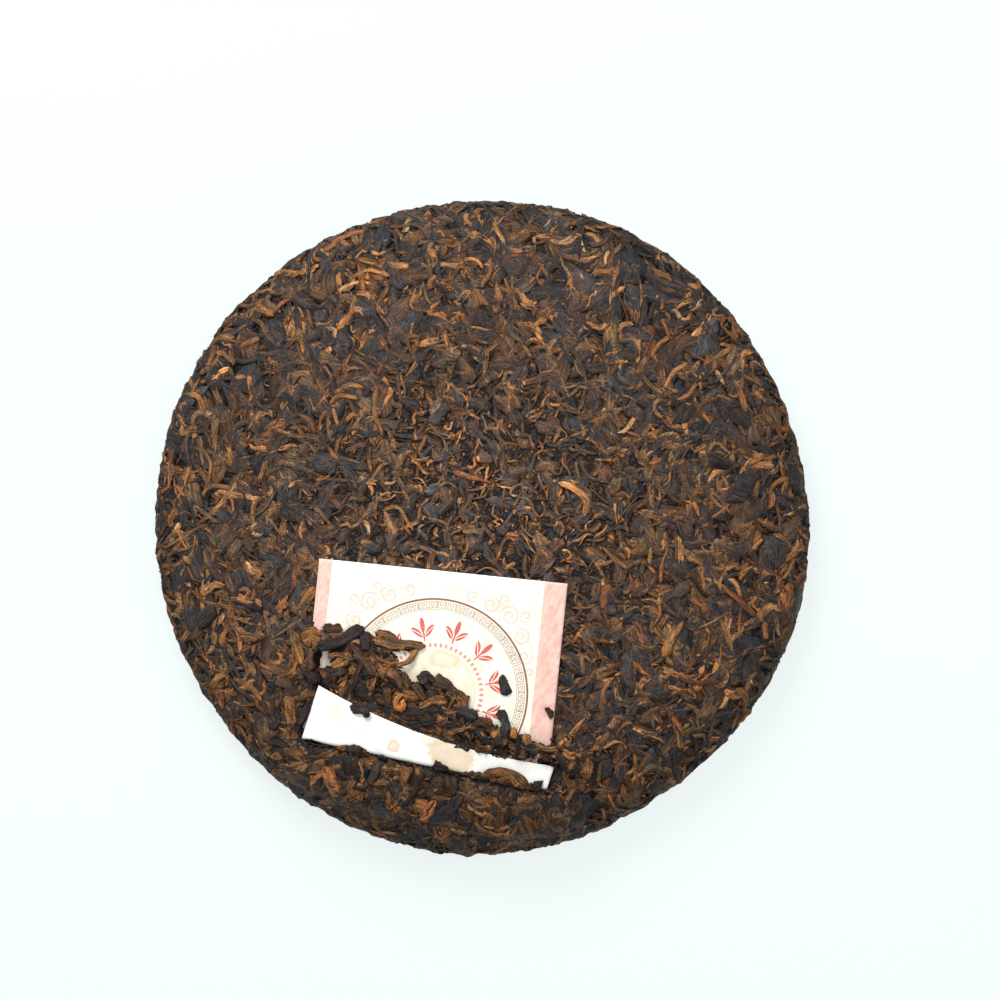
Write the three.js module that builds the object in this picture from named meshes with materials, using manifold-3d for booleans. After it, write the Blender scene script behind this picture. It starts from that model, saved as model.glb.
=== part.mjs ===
// A round cake of pressed ripe tea, 357 g, as it lies on its back with the face up.
// A square paper ticket is pressed into the lower left of the face. Its bottom edge is folded up over some
// of the leaves, so that a strip of its blank back shows, and more leaves cover the fold and the middle.
//
// Millimetres, +Z up. The origin is on the surface that the cake lies on, under the middle of the cake.
import * as THREE from "three";
import { ImprovedNoise } from "three/addons/math/ImprovedNoise.js";
import { mergeVertices } from "three/addons/utils/BufferGeometryUtils.js";
import Module from "manifold-3d";

// The cake: the usual size of a 357 g cake.
const CAKE_RADIUS = 100;
const CENTRE_HEIGHT = 25;
const EDGE_HEIGHT = 13;
const BELLY_HEIGHT = 7; // where the side is widest
const DOME_POWER = 3.2; // how flat the middle of the face is before it falls to the edge
const TOP_ROUNDING = 9;
const BACK_ROUNDING = 11;
const KNOT_RADIUS = 27; // the hollow that the knot of the pressing cloth leaves in the back
const KNOT_DEPTH = 10;
const OUTLINE_WAVES = [
  { lobes: 3, height: 0.31, phase: -84 },
  { lobes: 4, height: 0.49, phase: 76 },
  { lobes: 5, height: 0.31, phase: 87 },
];

// The leaf relief of the faces and, rougher, of the side. The ring that the cake rests on stays flat.
const FACE_RELIEF = 0.35;
const SIDE_RELIEF = 0.8;
const RELIEF_GRAIN = 5.5;
const REST_RING = { inner: 44, outer: 84 };
const SKIN_SPACING = { face: 8.5, side: 5.2, back: 11, knot: 7 }; // between the points of the skin

// The paper ticket, from its upper left corner, in the plane of the cake.
const TICKET_WIDTH = 76;
const TICKET_LENGTH = 68.5; // flattened, to the middle of its bowed lower edge
const EDGE_BOW = 4.6; // how much longer it is along the left edge
const BOW_CENTRE = 42; // from the left edge, where it is shortest
const TICKET_CORNER = new THREE.Vector2(-49.5, -9.8);
const TICKET_TURN = -5.8; // degrees
const FOLD_LEFT = 55.6; // from the top edge to the fold, along the left edge
const FOLD_RIGHT = 63.6;
const PAPER = 0.3;
const GAP = 0.3;
const SHEET_LIFT = 0.55; // of the printed panel, above the even face
const SHEET_SINK = -0.9; // where leaves cover it
const SINK_LEFT = 24; // from the top edge to where it starts to go down, along the left edge
const SINK_RIGHT = 48;
const SINK_OVER = 11;
const FLAP_LIFT = 1.0;
const FOLD_NOSE = 1.2; // how far from the fold the two layers have parted
const TICKET_COLUMNS = 9;

// The leaves over the ticket: a ridge across its middle and one over the fold.
const RIDGES = [
  {
    height: 2.1,
    spine: [[-58, -38], [-41, -41], [-27, -45], [-13, -55], [3, -64], [20, -68], [32, -72]],
    halfWidth: [12, 10, 9, 8, 5.5, 5, 5],
  },
  {
    height: 2.3,
    spine: [[-64, -70], [-48, -75], [-28, -80], [-8, -84], [12, -87.5], [26, -88]],
    halfWidth: [7, 8.5, 9, 9, 8.5, 7],
  },
];

// The largest leaves, fused to the skin, and the larger ones over the ticket.
const STRANDS_ON_SKIN = 120;
const STRANDS_ON_RIDGE = 15; // on each ridge
const STRAND = { length: [9, 17], width: [2.4, 3.8], crest: 0.95, root: 0.55, bend: 1.5 };
const RIDGE_STRAND = { length: [9, 17], width: [3.4, 6], crest: 1.3, root: 0.9, bend: 1.5 };
const STRAND_STATIONS = 4;

// A scrap of dark leaf that lies on the ticket.
const SCRAP = { across: 60, down: 32.5, width: 3.6, length: 6.6, thickness: 0.7, turn: 15 };

const SEED = 20260;

const TEA = { color: 0x3a2c24, roughness: 0.85, metalness: 0 };
const TICKET_PAPER = { color: 0xf6ece0, roughness: 0.7, metalness: 0 };

const wasm = await Module();
wasm.setup();
const noise = new ImprovedNoise();

// A seeded random draw between two values.
function seededDraw(seed) {
  let state = seed;
  return (low, high) => {
    state = (state + 0x6d2b79f5) | 0;
    let t = Math.imul(state ^ (state >>> 15), 1 | state);
    t = (t + Math.imul(t ^ (t >>> 7), 61 | t)) ^ t;
    return low + ((high - low) * ((t ^ (t >>> 14)) >>> 0)) / 4294967296;
  };
}

const smooth = (x, from, to) => THREE.MathUtils.smoothstep(x, from, to);

// Heights of the even face, before relief, and of the knot's hollow in the back.
function domeHeight(r) {
  return EDGE_HEIGHT + (CENTRE_HEIGHT - EDGE_HEIGHT) * (1 - (r / CAKE_RADIUS) ** DOME_POWER);
}

function faceHeight(r) {
  const shoulder = CAKE_RADIUS - TOP_ROUNDING;
  const past = Math.min(1, Math.max(0, (r - shoulder) / TOP_ROUNDING));
  return BELLY_HEIGHT + (domeHeight(Math.min(r, CAKE_RADIUS)) - BELLY_HEIGHT) * Math.sqrt(1 - past * past);
}

function knotHeight(r) {
  return r < KNOT_RADIUS ? KNOT_DEPTH * (1 - (r / KNOT_RADIUS) ** 2) ** 2 : 0;
}

// Half of the cake's section, from the middle of the face round the side to the middle of the back.
function sectionPoints() {
  const points = [];
  const faceSteps = 40;
  const rimSteps = 10;
  const shoulder = CAKE_RADIUS - TOP_ROUNDING;
  const heel = CAKE_RADIUS - BACK_ROUNDING;
  for (let i = 0; i < faceSteps; i++) {
    const r = (shoulder * i) / faceSteps;
    points.push(new THREE.Vector2(r, domeHeight(r)));
  }
  for (let i = 0; i <= rimSteps; i++) {
    const a = ((Math.PI / 2) * i) / rimSteps;
    const r = shoulder + TOP_ROUNDING * Math.sin(a);
    points.push(new THREE.Vector2(r, BELLY_HEIGHT + (domeHeight(r) - BELLY_HEIGHT) * Math.cos(a)));
  }
  for (let i = rimSteps - 1; i >= 0; i--) {
    const a = ((Math.PI / 2) * i) / rimSteps;
    points.push(new THREE.Vector2(heel + BACK_ROUNDING * Math.sin(a), BELLY_HEIGHT * (1 - Math.cos(a))));
  }
  for (let i = faceSteps - 1; i >= 0; i--) {
    const r = (heel * i) / faceSteps;
    points.push(new THREE.Vector2(r, knotHeight(r)));
  }
  return points;
}

const SECTION = sectionPoints();

// Running totals along the section, each step counted as measured.
function runningTotals(measure) {
  const totals = [0];
  for (let i = 1; i < SECTION.length; i++) totals.push(totals[i - 1] + measure(SECTION[i - 1], SECTION[i]));
  return totals;
}

const SECTION_LENGTHS = runningTotals((a, b) => a.distanceTo(b));
const SECTION_AREAS = runningTotals((a, b) => Math.PI * (a.x + b.x) * a.distanceTo(b));

// The place on the section where a running total is reached, with the outward normal there.
function onSection(totals, total) {
  let i = 1;
  while (i < SECTION.length - 1 && totals[i] < total) i++;
  const [a, b] = [SECTION[i - 1], SECTION[i]];
  const part = THREE.MathUtils.clamp((total - totals[i - 1]) / (totals[i] - totals[i - 1]), 0, 1);
  const along = b.clone().sub(a).normalize();
  return { point: a.clone().lerp(b, part), normal: new THREE.Vector2(-along.y, along.x) };
}

// The even skin's nearest place to a point in space.
function nearestOnSkin(point) {
  const at = new THREE.Vector2(Math.hypot(point.x, point.y), point.z);
  let best = { away: Infinity };
  for (let i = 1; i < SECTION.length; i++) {
    const [a, b] = [SECTION[i - 1], SECTION[i]];
    const edge = b.clone().sub(a);
    const part = THREE.MathUtils.clamp(at.clone().sub(a).dot(edge) / edge.lengthSq(), 0, 1);
    const foot = a.clone().addScaledVector(edge, part);
    const away = foot.distanceTo(at);
    if (away < best.away) best = { away, foot, normal: new THREE.Vector2(-edge.y, edge.x).normalize() };
  }
  const angle = Math.atan2(point.y, point.x);
  return { place: aroundAxis(best.foot, angle), normal: aroundAxis(best.normal, angle) };
}

// A point or direction of the section, turned to an angle round the cake.
function aroundAxis(section, angle) {
  return new THREE.Vector3(section.x * Math.cos(angle), section.x * Math.sin(angle), section.y);
}

// How far the outline stands out from the round at an angle.
function outlineOffset(angle) {
  return OUTLINE_WAVES.reduce(
    (sum, w) => sum + w.height * Math.cos(w.lobes * angle + THREE.MathUtils.degToRad(w.phase)),
    0,
  );
}

// The height of the leaves over the ticket at a place on the face.
function ridgeHeight(x, y) {
  const at = new THREE.Vector2(x, y);
  let height = 0;
  for (const ridge of RIDGES) {
    for (let i = 1; i < ridge.spine.length; i++) {
      const a = new THREE.Vector2(...ridge.spine[i - 1]);
      const edge = new THREE.Vector2(...ridge.spine[i]).sub(a);
      const part = THREE.MathUtils.clamp(at.clone().sub(a).dot(edge) / edge.lengthSq(), 0, 1);
      const away = at.distanceTo(a.clone().addScaledVector(edge, part));
      const halfWidth = THREE.MathUtils.lerp(ridge.halfWidth[i - 1], ridge.halfWidth[i], part);
      height = Math.max(height, ridge.height * (1 - smooth(away, 0.55 * halfWidth, 1.05 * halfWidth)));
    }
  }
  return height;
}

// A place on the even skin, moved out by the relief, the outline and the leaves over the ticket.
function raised(place, normal, extra) {
  const r = Math.hypot(place.x, place.y);
  const sideways = smooth(r, CAKE_RADIUS - 2 * TOP_ROUNDING, CAKE_RADIUS);
  const wave = noise.noise(place.x / RELIEF_GRAIN, place.y / RELIEF_GRAIN, place.z / RELIEF_GRAIN);
  const rests = normal.z < -0.9 && r > REST_RING.inner && r < REST_RING.outer;
  const relief = rests ? 0 : 1.6 * wave * THREE.MathUtils.lerp(FACE_RELIEF, SIDE_RELIEF, sideways);
  const pressed = extra > 0 ? 1 - 0.5 * sideways : 1;
  const v = place.clone().addScaledVector(normal, relief + pressed * extra);
  if (normal.z > 0) v.z += ridgeHeight(place.x, place.y);
  const stretch = 1 + (outlineOffset(Math.atan2(place.y, place.x)) * sideways) / CAKE_RADIUS;
  return v.multiply(new THREE.Vector3(stretch, stretch, 1));
}

// The spacing of the skin's points at a place on the section.
function skinSpacing(point, normal) {
  if (point.x > CAKE_RADIUS - 1.5 * TOP_ROUNDING) return SKIN_SPACING.side;
  if (normal.y > 0) return SKIN_SPACING.face;
  return point.x < KNOT_RADIUS ? SKIN_SPACING.knot : SKIN_SPACING.back;
}

// The skin as rings of points round the axis, from the middle of the face to the middle of the back.
function skinRings() {
  const rowHeight = Math.sqrt(3) / 2; // of even triangles, for their side
  const length = SECTION_LENGTHS[SECTION_LENGTHS.length - 1];
  const rings = [];
  for (let at = 0; at < length; ) {
    const { point, normal } = onSection(SECTION_LENGTHS, at);
    const spacing = skinSpacing(point, normal);
    const count = Math.round((2 * Math.PI * point.x) / spacing);
    rings.push({ point, normal, count: Math.max(count, 1), turn: rings.length % 2 ? 0.5 : 0 });
    at += rowHeight * spacing;
    if (length - at < 0.6 * spacing) at = length;
  }
  rings.push({ ...onSection(SECTION_LENGTHS, length), count: 1, turn: 0 });
  return rings;
}

function cakeSkin() {
  const rings = skinRings();
  const vertices = [];
  const faces = [];
  let start = 0;
  rings.forEach((ring, k) => {
    for (let i = 0; i < ring.count; i++) {
      const angle = ((i + ring.turn) / ring.count) * 2 * Math.PI;
      const v = raised(aroundAxis(ring.point, angle), aroundAxis(ring.normal, angle), 0);
      v.z = Math.max(0, v.z);
      vertices.push(v);
    }
    if (k > 0) faces.push(...facesBetween(rings[k - 1], start - rings[k - 1].count, ring, start));
    start += ring.count;
  });
  return facesGeometry(vertices, faces);
}

// The triangles between two rings with different numbers of points.
function facesBetween(inner, innerStart, outer, outerStart) {
  const faces = [];
  let i = 0;
  let j = 0;
  const innerPoints = inner.count === 1 ? 0 : inner.count;
  const outerPoints = outer.count === 1 ? 0 : outer.count;
  const at = (ring, index) => (index + ring.turn) / ring.count;
  while (i < innerPoints || j < outerPoints) {
    const a = innerStart + (i % inner.count);
    const b = outerStart + (j % outer.count);
    const outerNext = i >= innerPoints || (j < outerPoints && at(outer, j + 1) <= at(inner, i + 1));
    if (outerNext) {
      j += 1;
      faces.push([a, b, outerStart + (j % outer.count)]);
    } else {
      i += 1;
      faces.push([a, b, innerStart + (i % inner.count)]);
    }
  }
  return faces;
}

// A leaf: a bent strand with a sharp crest that narrows to a point at both ends, its root in the skin.
function strandGeometry(centre, kind, draw) {
  const heading = draw(0, Math.PI);
  const length = draw(...kind.length);
  const width = draw(...kind.width);
  const bend = draw(-kind.bend, kind.bend);
  const start = nearestOnSkin(centre);
  const across = Math.abs(start.normal.z) > 0.9 ? new THREE.Vector3(1, 0, 0) : new THREE.Vector3(0, 0, 1);
  const first = new THREE.Vector3().crossVectors(across, start.normal).normalize();
  const second = new THREE.Vector3().crossVectors(start.normal, first);
  const spine = [];
  for (let i = 0; i <= STRAND_STATIONS; i++) {
    const along = i / STRAND_STATIONS - 0.5;
    const turn = heading + bend * along;
    const reach = start.place.clone()
      .addScaledVector(first, Math.cos(turn) * along * length)
      .addScaledVector(second, Math.sin(turn) * along * length);
    spine.push(nearestOnSkin(reach));
  }
  const at = (i, lift) => raised(spine[i].place, spine[i].normal, lift);
  const vertices = [at(0, -kind.root)];
  for (let i = 1; i < STRAND_STATIONS; i++) {
    const { normal } = spine[i];
    const ahead = spine[i + 1].place.clone().sub(spine[i - 1].place);
    const side = new THREE.Vector3().crossVectors(normal, ahead).normalize();
    const fullness = 0.7 + 0.3 * Math.sin((Math.PI * i) / STRAND_STATIONS);
    const foot = at(i, -kind.root);
    vertices.push(
      foot.clone().addScaledVector(side, (fullness * width) / 2),
      at(i, fullness * kind.crest),
      foot.clone().addScaledVector(side, (-fullness * width) / 2),
    );
  }
  vertices.push(at(STRAND_STATIONS, -kind.root));
  const faces = [];
  const corners = 3;
  const ring = (i) => 1 + (i - 1) * corners;
  for (let j = 0; j < corners; j++) {
    const next = (j + 1) % corners;
    faces.push([0, ring(1) + next, ring(1) + j]);
    for (let i = 1; i < STRAND_STATIONS - 1; i++) {
      faces.push(
        [ring(i) + j, ring(i) + next, ring(i + 1) + next],
        [ring(i) + j, ring(i + 1) + next, ring(i + 1) + j],
      );
    }
    faces.push([ring(STRAND_STATIONS - 1) + j, ring(STRAND_STATIONS - 1) + next, vertices.length - 1]);
  }
  return facesGeometry(vertices, faces);
}

function facesGeometry(vertices, faces) {
  return new THREE.BufferGeometry().setFromPoints(vertices).setIndex(faces.flat());
}

// The middle of the paper at a distance from its left edge and from its top edge.
function ticketDirections() {
  const turn = THREE.MathUtils.degToRad(TICKET_TURN);
  const across = new THREE.Vector2(Math.cos(turn), Math.sin(turn));
  return { across, down: new THREE.Vector2(across.y, -across.x) };
}

const TICKET_AXES = ticketDirections();

function flatOnTicket(across, down) {
  return TICKET_CORNER.clone()
    .addScaledVector(TICKET_AXES.across, across)
    .addScaledVector(TICKET_AXES.down, down);
}

const FOLD_START = flatOnTicket(0, FOLD_LEFT);
const FOLD_LINE = flatOnTicket(TICKET_WIDTH, FOLD_RIGHT).sub(FOLD_START).normalize();

const foldAt = (across) => FOLD_LEFT + ((FOLD_RIGHT - FOLD_LEFT) * across) / TICKET_WIDTH;
const endAt = (across) => TICKET_LENGTH + EDGE_BOW * (across / BOW_CENTRE - 1) ** 2;
const sinkAt = (across) => SINK_LEFT + ((SINK_RIGHT - SINK_LEFT) * across) / TICKET_WIDTH;

function onTicket(across, down) {
  const flat = flatOnTicket(across, down);
  const toFold = flat.clone().sub(FOLD_START);
  const aside = toFold.clone().addScaledVector(FOLD_LINE, -toFold.dot(FOLD_LINE));
  const folded = down > foldAt(across);
  if (folded) flat.addScaledVector(aside, -2);
  const sunk = THREE.MathUtils.lerp(SHEET_LIFT, SHEET_SINK, smooth(down, sinkAt(across), sinkAt(across) + SINK_OVER));
  const parted = Math.min(1, aside.length() / FOLD_NOSE);
  const opening = Math.sqrt(1 - (1 - parted) ** 2);
  const middle = (SHEET_SINK + FLAP_LIFT) / 2;
  const lift = THREE.MathUtils.lerp(middle, folded ? FLAP_LIFT : sunk, opening);
  return new THREE.Vector3(flat.x, flat.y, faceHeight(flat.length()) + lift);
}

// The ticket as a sheet of a thickness, reaching a margin past the paper's own edges.
function ticketSheet(thickness, margin) {
  const rows = [0, 0.3, 0.6, 0.85].map((part) => (across) => part * sinkAt(across));
  rows.push(...[0, 0.25, 0.5, 0.75, 1].map((part) => (across) => sinkAt(across) + part * SINK_OVER));
  const fromFold = [-2.5, -FOLD_NOSE, -0.35 * FOLD_NOSE, 0, 0.35 * FOLD_NOSE, FOLD_NOSE, 3];
  rows.push(...fromFold.map((away) => (across) => foldAt(across) + away));
  rows.push((across) => (foldAt(across) + 3 + endAt(across)) / 2, endAt);
  const last = rows.length - 1;
  const step = 0.02;
  const front = [];
  const back = [];
  rows.forEach((row, i) => {
    for (let j = 0; j <= TICKET_COLUMNS; j++) {
      const across = (j / TICKET_COLUMNS) * (TICKET_WIDTH + 2 * margin) - margin;
      const down = row(across) + (i === 0 ? -margin : i === last ? margin : 0);
      const middle = onTicket(across, down);
      const along = onTicket(across, down + step).sub(onTicket(across, down - step));
      const aside = onTicket(across + step, down).sub(onTicket(across - step, down));
      const normal = along.cross(aside).normalize();
      front.push(middle.clone().addScaledVector(normal, thickness / 2));
      back.push(middle.clone().addScaledVector(normal, -thickness / 2));
    }
  });
  return sheetGeometry(front, back, rows.length, TICKET_COLUMNS + 1);
}

// A closed sheet from the points of its two faces, both split into triangles alike.
function sheetGeometry(front, back, rows, columns) {
  const faces = [];
  const under = front.length;
  const at = (i, j) => i * columns + j;
  for (let i = 1; i < rows; i++) {
    for (let j = 1; j < columns; j++) {
      const [a, b, c, d] = [at(i - 1, j - 1), at(i - 1, j), at(i, j), at(i, j - 1)];
      faces.push([a, d, c], [a, c, b], [under + a, under + c, under + d], [under + a, under + b, under + c]);
    }
  }
  const wall = (a, b) => faces.push([a, b, under + b], [a, under + b, under + a]);
  for (let j = 1; j < columns; j++) {
    wall(at(0, j - 1), at(0, j));
    wall(at(rows - 1, j), at(rows - 1, j - 1));
  }
  for (let i = 1; i < rows; i++) {
    wall(at(i, 0), at(i - 1, 0));
    wall(at(i - 1, columns - 1), at(i, columns - 1));
  }
  return facesGeometry([...front, ...back], faces);
}

function onlyPositions(geometry) {
  geometry.deleteAttribute("normal");
  geometry.deleteAttribute("uv");
  return mergeVertices(geometry, 1e-4);
}

// Between three.js geometry and manifold-3d solids.
function toSolid(geometry) {
  const solid = new wasm.Manifold(new wasm.Mesh({
    numProp: 3,
    vertProperties: geometry.getAttribute("position").array,
    triVerts: new Uint32Array(geometry.index.array),
  }));
  if (solid.volume() <= 0) throw new Error("a piece is inside out");
  return solid;
}

function toGeometry(solid) {
  const mesh = solid.getMesh();
  return new THREE.BufferGeometry()
    .setAttribute("position", new THREE.BufferAttribute(new Float32Array(mesh.vertProperties), 3))
    .setIndex(new THREE.BufferAttribute(new Uint32Array(mesh.triVerts), 1));
}

// The largest leaves, spread evenly over the face and the side, and thicker over the ticket.
function largestStrands() {
  const draw = seededDraw(SEED);
  const goldenTurn = Math.PI * (3 - Math.sqrt(5));
  const heel = SECTION.findIndex((p, i) => i > 0 && p.y === 0 && SECTION[i - 1].y > 0);
  const strands = [];
  for (let i = 0; i < STRANDS_ON_SKIN; i++) {
    const { point } = onSection(SECTION_AREAS, (SECTION_AREAS[heel] * (i + 0.5)) / STRANDS_ON_SKIN);
    const centre = aroundAxis(point, i * goldenTurn);
    if (!overTicket(centre)) strands.push(strandGeometry(centre, STRAND, draw));
  }
  for (const ridge of RIDGES) {
    const spine = new THREE.CatmullRomCurve3(ridge.spine.map(([x, y]) => new THREE.Vector3(x, y, 0)));
    for (let i = 0; i < STRANDS_ON_RIDGE; i++) {
      const at = spine.getPoint((i + 0.5) / STRANDS_ON_RIDGE);
      at.x += draw(-2, 2);
      at.y += draw(-5, 5);
      at.z = faceHeight(Math.hypot(at.x, at.y));
      strands.push(strandGeometry(at, RIDGE_STRAND, draw));
    }
  }
  return strands;
}

// Whether a leaf at this place would lie on the part of the ticket that shows.
function overTicket(place) {
  const from = new THREE.Vector2(place.x, place.y).sub(TICKET_CORNER);
  const margin = STRAND.length[0] / 2;
  const across = from.dot(TICKET_AXES.across);
  const down = from.dot(TICKET_AXES.down);
  const beside = across < -margin || across > TICKET_WIDTH + margin;
  return place.z > EDGE_HEIGHT && !beside && down > -margin && down < foldAt(across) + margin;
}

// The cake: its skin with the largest leaves fused on, cut open where the paper lies in it.
function teaCake() {
  const leaves = largestStrands().map(toSolid);
  const whole = wasm.Manifold.union([toSolid(cakeSkin()), ...leaves]);
  const room = toSolid(ticketSheet(PAPER + 2 * GAP, GAP));
  const aboveTable = whole.subtract(room).trimByPlane([0, 0, 1], 0);
  const pieces = aboveTable.decompose().sort((a, b) => b.volume() - a.volume());
  return toGeometry(pieces[0]);
}

// The paper, with the scrap of leaf fused on.
function ticketWithScrap() {
  const at = onTicket(SCRAP.across, SCRAP.down);
  const scrap = new THREE.CylinderGeometry(SCRAP.width / 2, SCRAP.width / 2, SCRAP.thickness, 7)
    .scale(1, 1, SCRAP.length / SCRAP.width)
    .rotateX(Math.PI / 2)
    .rotateZ(THREE.MathUtils.degToRad(SCRAP.turn))
    .translate(at.x, at.y, at.z + SCRAP.thickness / 2);
  return toGeometry(toSolid(ticketSheet(PAPER, 0)).add(toSolid(onlyPositions(scrap))));
}

const cake = new THREE.Mesh(teaCake(), new THREE.MeshStandardMaterial(TEA));
cake.name = "tea_cake";

const ticket = new THREE.Mesh(ticketWithScrap(), new THREE.MeshStandardMaterial(TICKET_PAPER));
ticket.name = "paper_ticket";

const group = new THREE.Group();
group.name = "pressed_tea_cake";
group.add(cake, ticket);

export default group;
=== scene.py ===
"""A round cake of pressed ripe tea, lying on its back, with a folded paper ticket under loose leaves.

Lengths in the code are millimetres unless a name says otherwise; meshes are written in metres.
"""

import math

import bpy
import numpy as np
from bpy.props import FloatProperty, FloatVectorProperty, IntProperty, PointerProperty
from bpy.types import Operator, Panel, PropertyGroup
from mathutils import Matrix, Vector, noise


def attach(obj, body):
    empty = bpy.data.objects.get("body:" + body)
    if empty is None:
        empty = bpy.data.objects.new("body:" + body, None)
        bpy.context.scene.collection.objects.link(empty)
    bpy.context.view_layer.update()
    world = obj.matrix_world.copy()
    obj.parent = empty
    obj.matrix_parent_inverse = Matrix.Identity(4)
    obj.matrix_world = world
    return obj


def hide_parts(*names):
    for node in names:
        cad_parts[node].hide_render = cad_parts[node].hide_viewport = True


bl_info = {
    "name": "Pressed tea cake",
    "version": (1, 0, 0),
    "blender": (4, 5, 0),
    "location": "3D View > Sidebar > Tea cake",
    "description": "Builds a cake of pressed tea leaves with a paper ticket around its packed frame",
    "category": "Object",
}

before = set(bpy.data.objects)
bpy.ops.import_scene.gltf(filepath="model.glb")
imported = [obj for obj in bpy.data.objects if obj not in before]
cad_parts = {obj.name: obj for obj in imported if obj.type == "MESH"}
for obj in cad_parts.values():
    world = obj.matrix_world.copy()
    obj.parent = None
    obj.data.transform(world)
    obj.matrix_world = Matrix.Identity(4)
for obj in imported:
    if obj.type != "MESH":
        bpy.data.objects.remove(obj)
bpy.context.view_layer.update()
BODY = "root"
MM = 0.001

# The cake's even skin, as the solid has it.
CAKE_RADIUS = 100.0
CENTRE_HEIGHT = 25.0
EDGE_HEIGHT = 13.0
BELLY_HEIGHT = 7.0
DOME_POWER = 3.2
TOP_ROUNDING = 9.0
BACK_ROUNDING = 11.0
KNOT_RADIUS = 27.0
KNOT_DEPTH = 10.0
OUTLINE_WAVES = ((3, 0.31, -84.0), (4, 0.49, 76.0), (5, 0.31, 87.0))  # lobes, height, phase in degrees
RIM_START = 88.0  # the side's lumps begin here, from the axis
RIM_RELIEF = 0.75
TABLE_GAP = 0.5  # below this height what stands out is pressed flat by the table

# The paper ticket, from its upper left corner.
TICKET_WIDTH = 76.0
TICKET_LENGTH = 68.5  # flattened, to the middle of its bowed lower edge
EDGE_BOW = 4.6
BOW_CENTRE = 42.0
TICKET_CORNER = np.array((-49.5, -9.8))
TICKET_TURN = math.radians(-5.8)
FOLD_LEFT, FOLD_RIGHT = 55.6, 63.6
SHEET_LIFT, SHEET_SINK, FLAP_LIFT = 0.55, -0.9, 1.0
SINK_LEFT, SINK_RIGHT, SINK_OVER = 24.0, 48.0, 11.0
FOLD_NOSE = 1.2

# The leaves over the ticket: for each ridge its height, its leaves' scale, how many half widths they lie
# below and above its spine, and the spine's x, y and half width.
UPPER_SPINE = (
    (-58, -38, 12), (-41, -41, 10), (-27, -45, 9), (-13, -55, 8), (3, -64, 5.5), (20, -68, 5), (32, -72, 5),
)
LOWER_SPINE = ((-64, -70, 7), (-48, -75, 8.5), (-28, -80, 9), (-8, -84, 9), (12, -87.5, 8.5), (26, -88, 7))
RIDGES = (
    (2.1, 0.85, (-1.9, 1.05), UPPER_SPINE),
    (2.3, 1.2, (-1.05, 1.05), LOWER_SPINE),
)
RIDGE_END = 92.0  # from here on the ridges run out towards the edge

# Where leaves end on the paper, as x and y in the 1000-pixel picture that the object was measured in.
PICTURE_CENTRE = np.array((482.0, 526.0))
PICTURE_SCALE = 0.3072  # millimetres to a pixel
PANEL_BORDER = (
    (300, 634), (315, 640), (325, 622), (344, 628), (352, 634), (364, 625), (380, 628), (398, 636),
    (405, 652), (409, 668), (415, 677), (422, 673), (433, 671), (453, 686), (460, 691), (468, 699),
    (476, 712), (490, 718), (506, 725), (520, 730), (531, 736), (545, 741), (580, 752),
)
STRIP_BORDER = (
    (296, 742), (315, 742), (334, 746), (347, 743), (359, 740), (373, 750), (390, 761), (404, 764),
    (411, 759), (423, 764), (431, 764), (452, 773), (462, 769), (478, 768), (497, 769), (518, 769),
    (528, 778), (538, 781), (548, 790),
)

# Bare paper that shows through the pile, as x, y and half sizes in the picture.
PAPER_SPOTS = ((323, 657, 5, 8), (337, 625, 7, 5), (402, 653, 3, 2.5), (414, 667, 4, 3))

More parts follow.
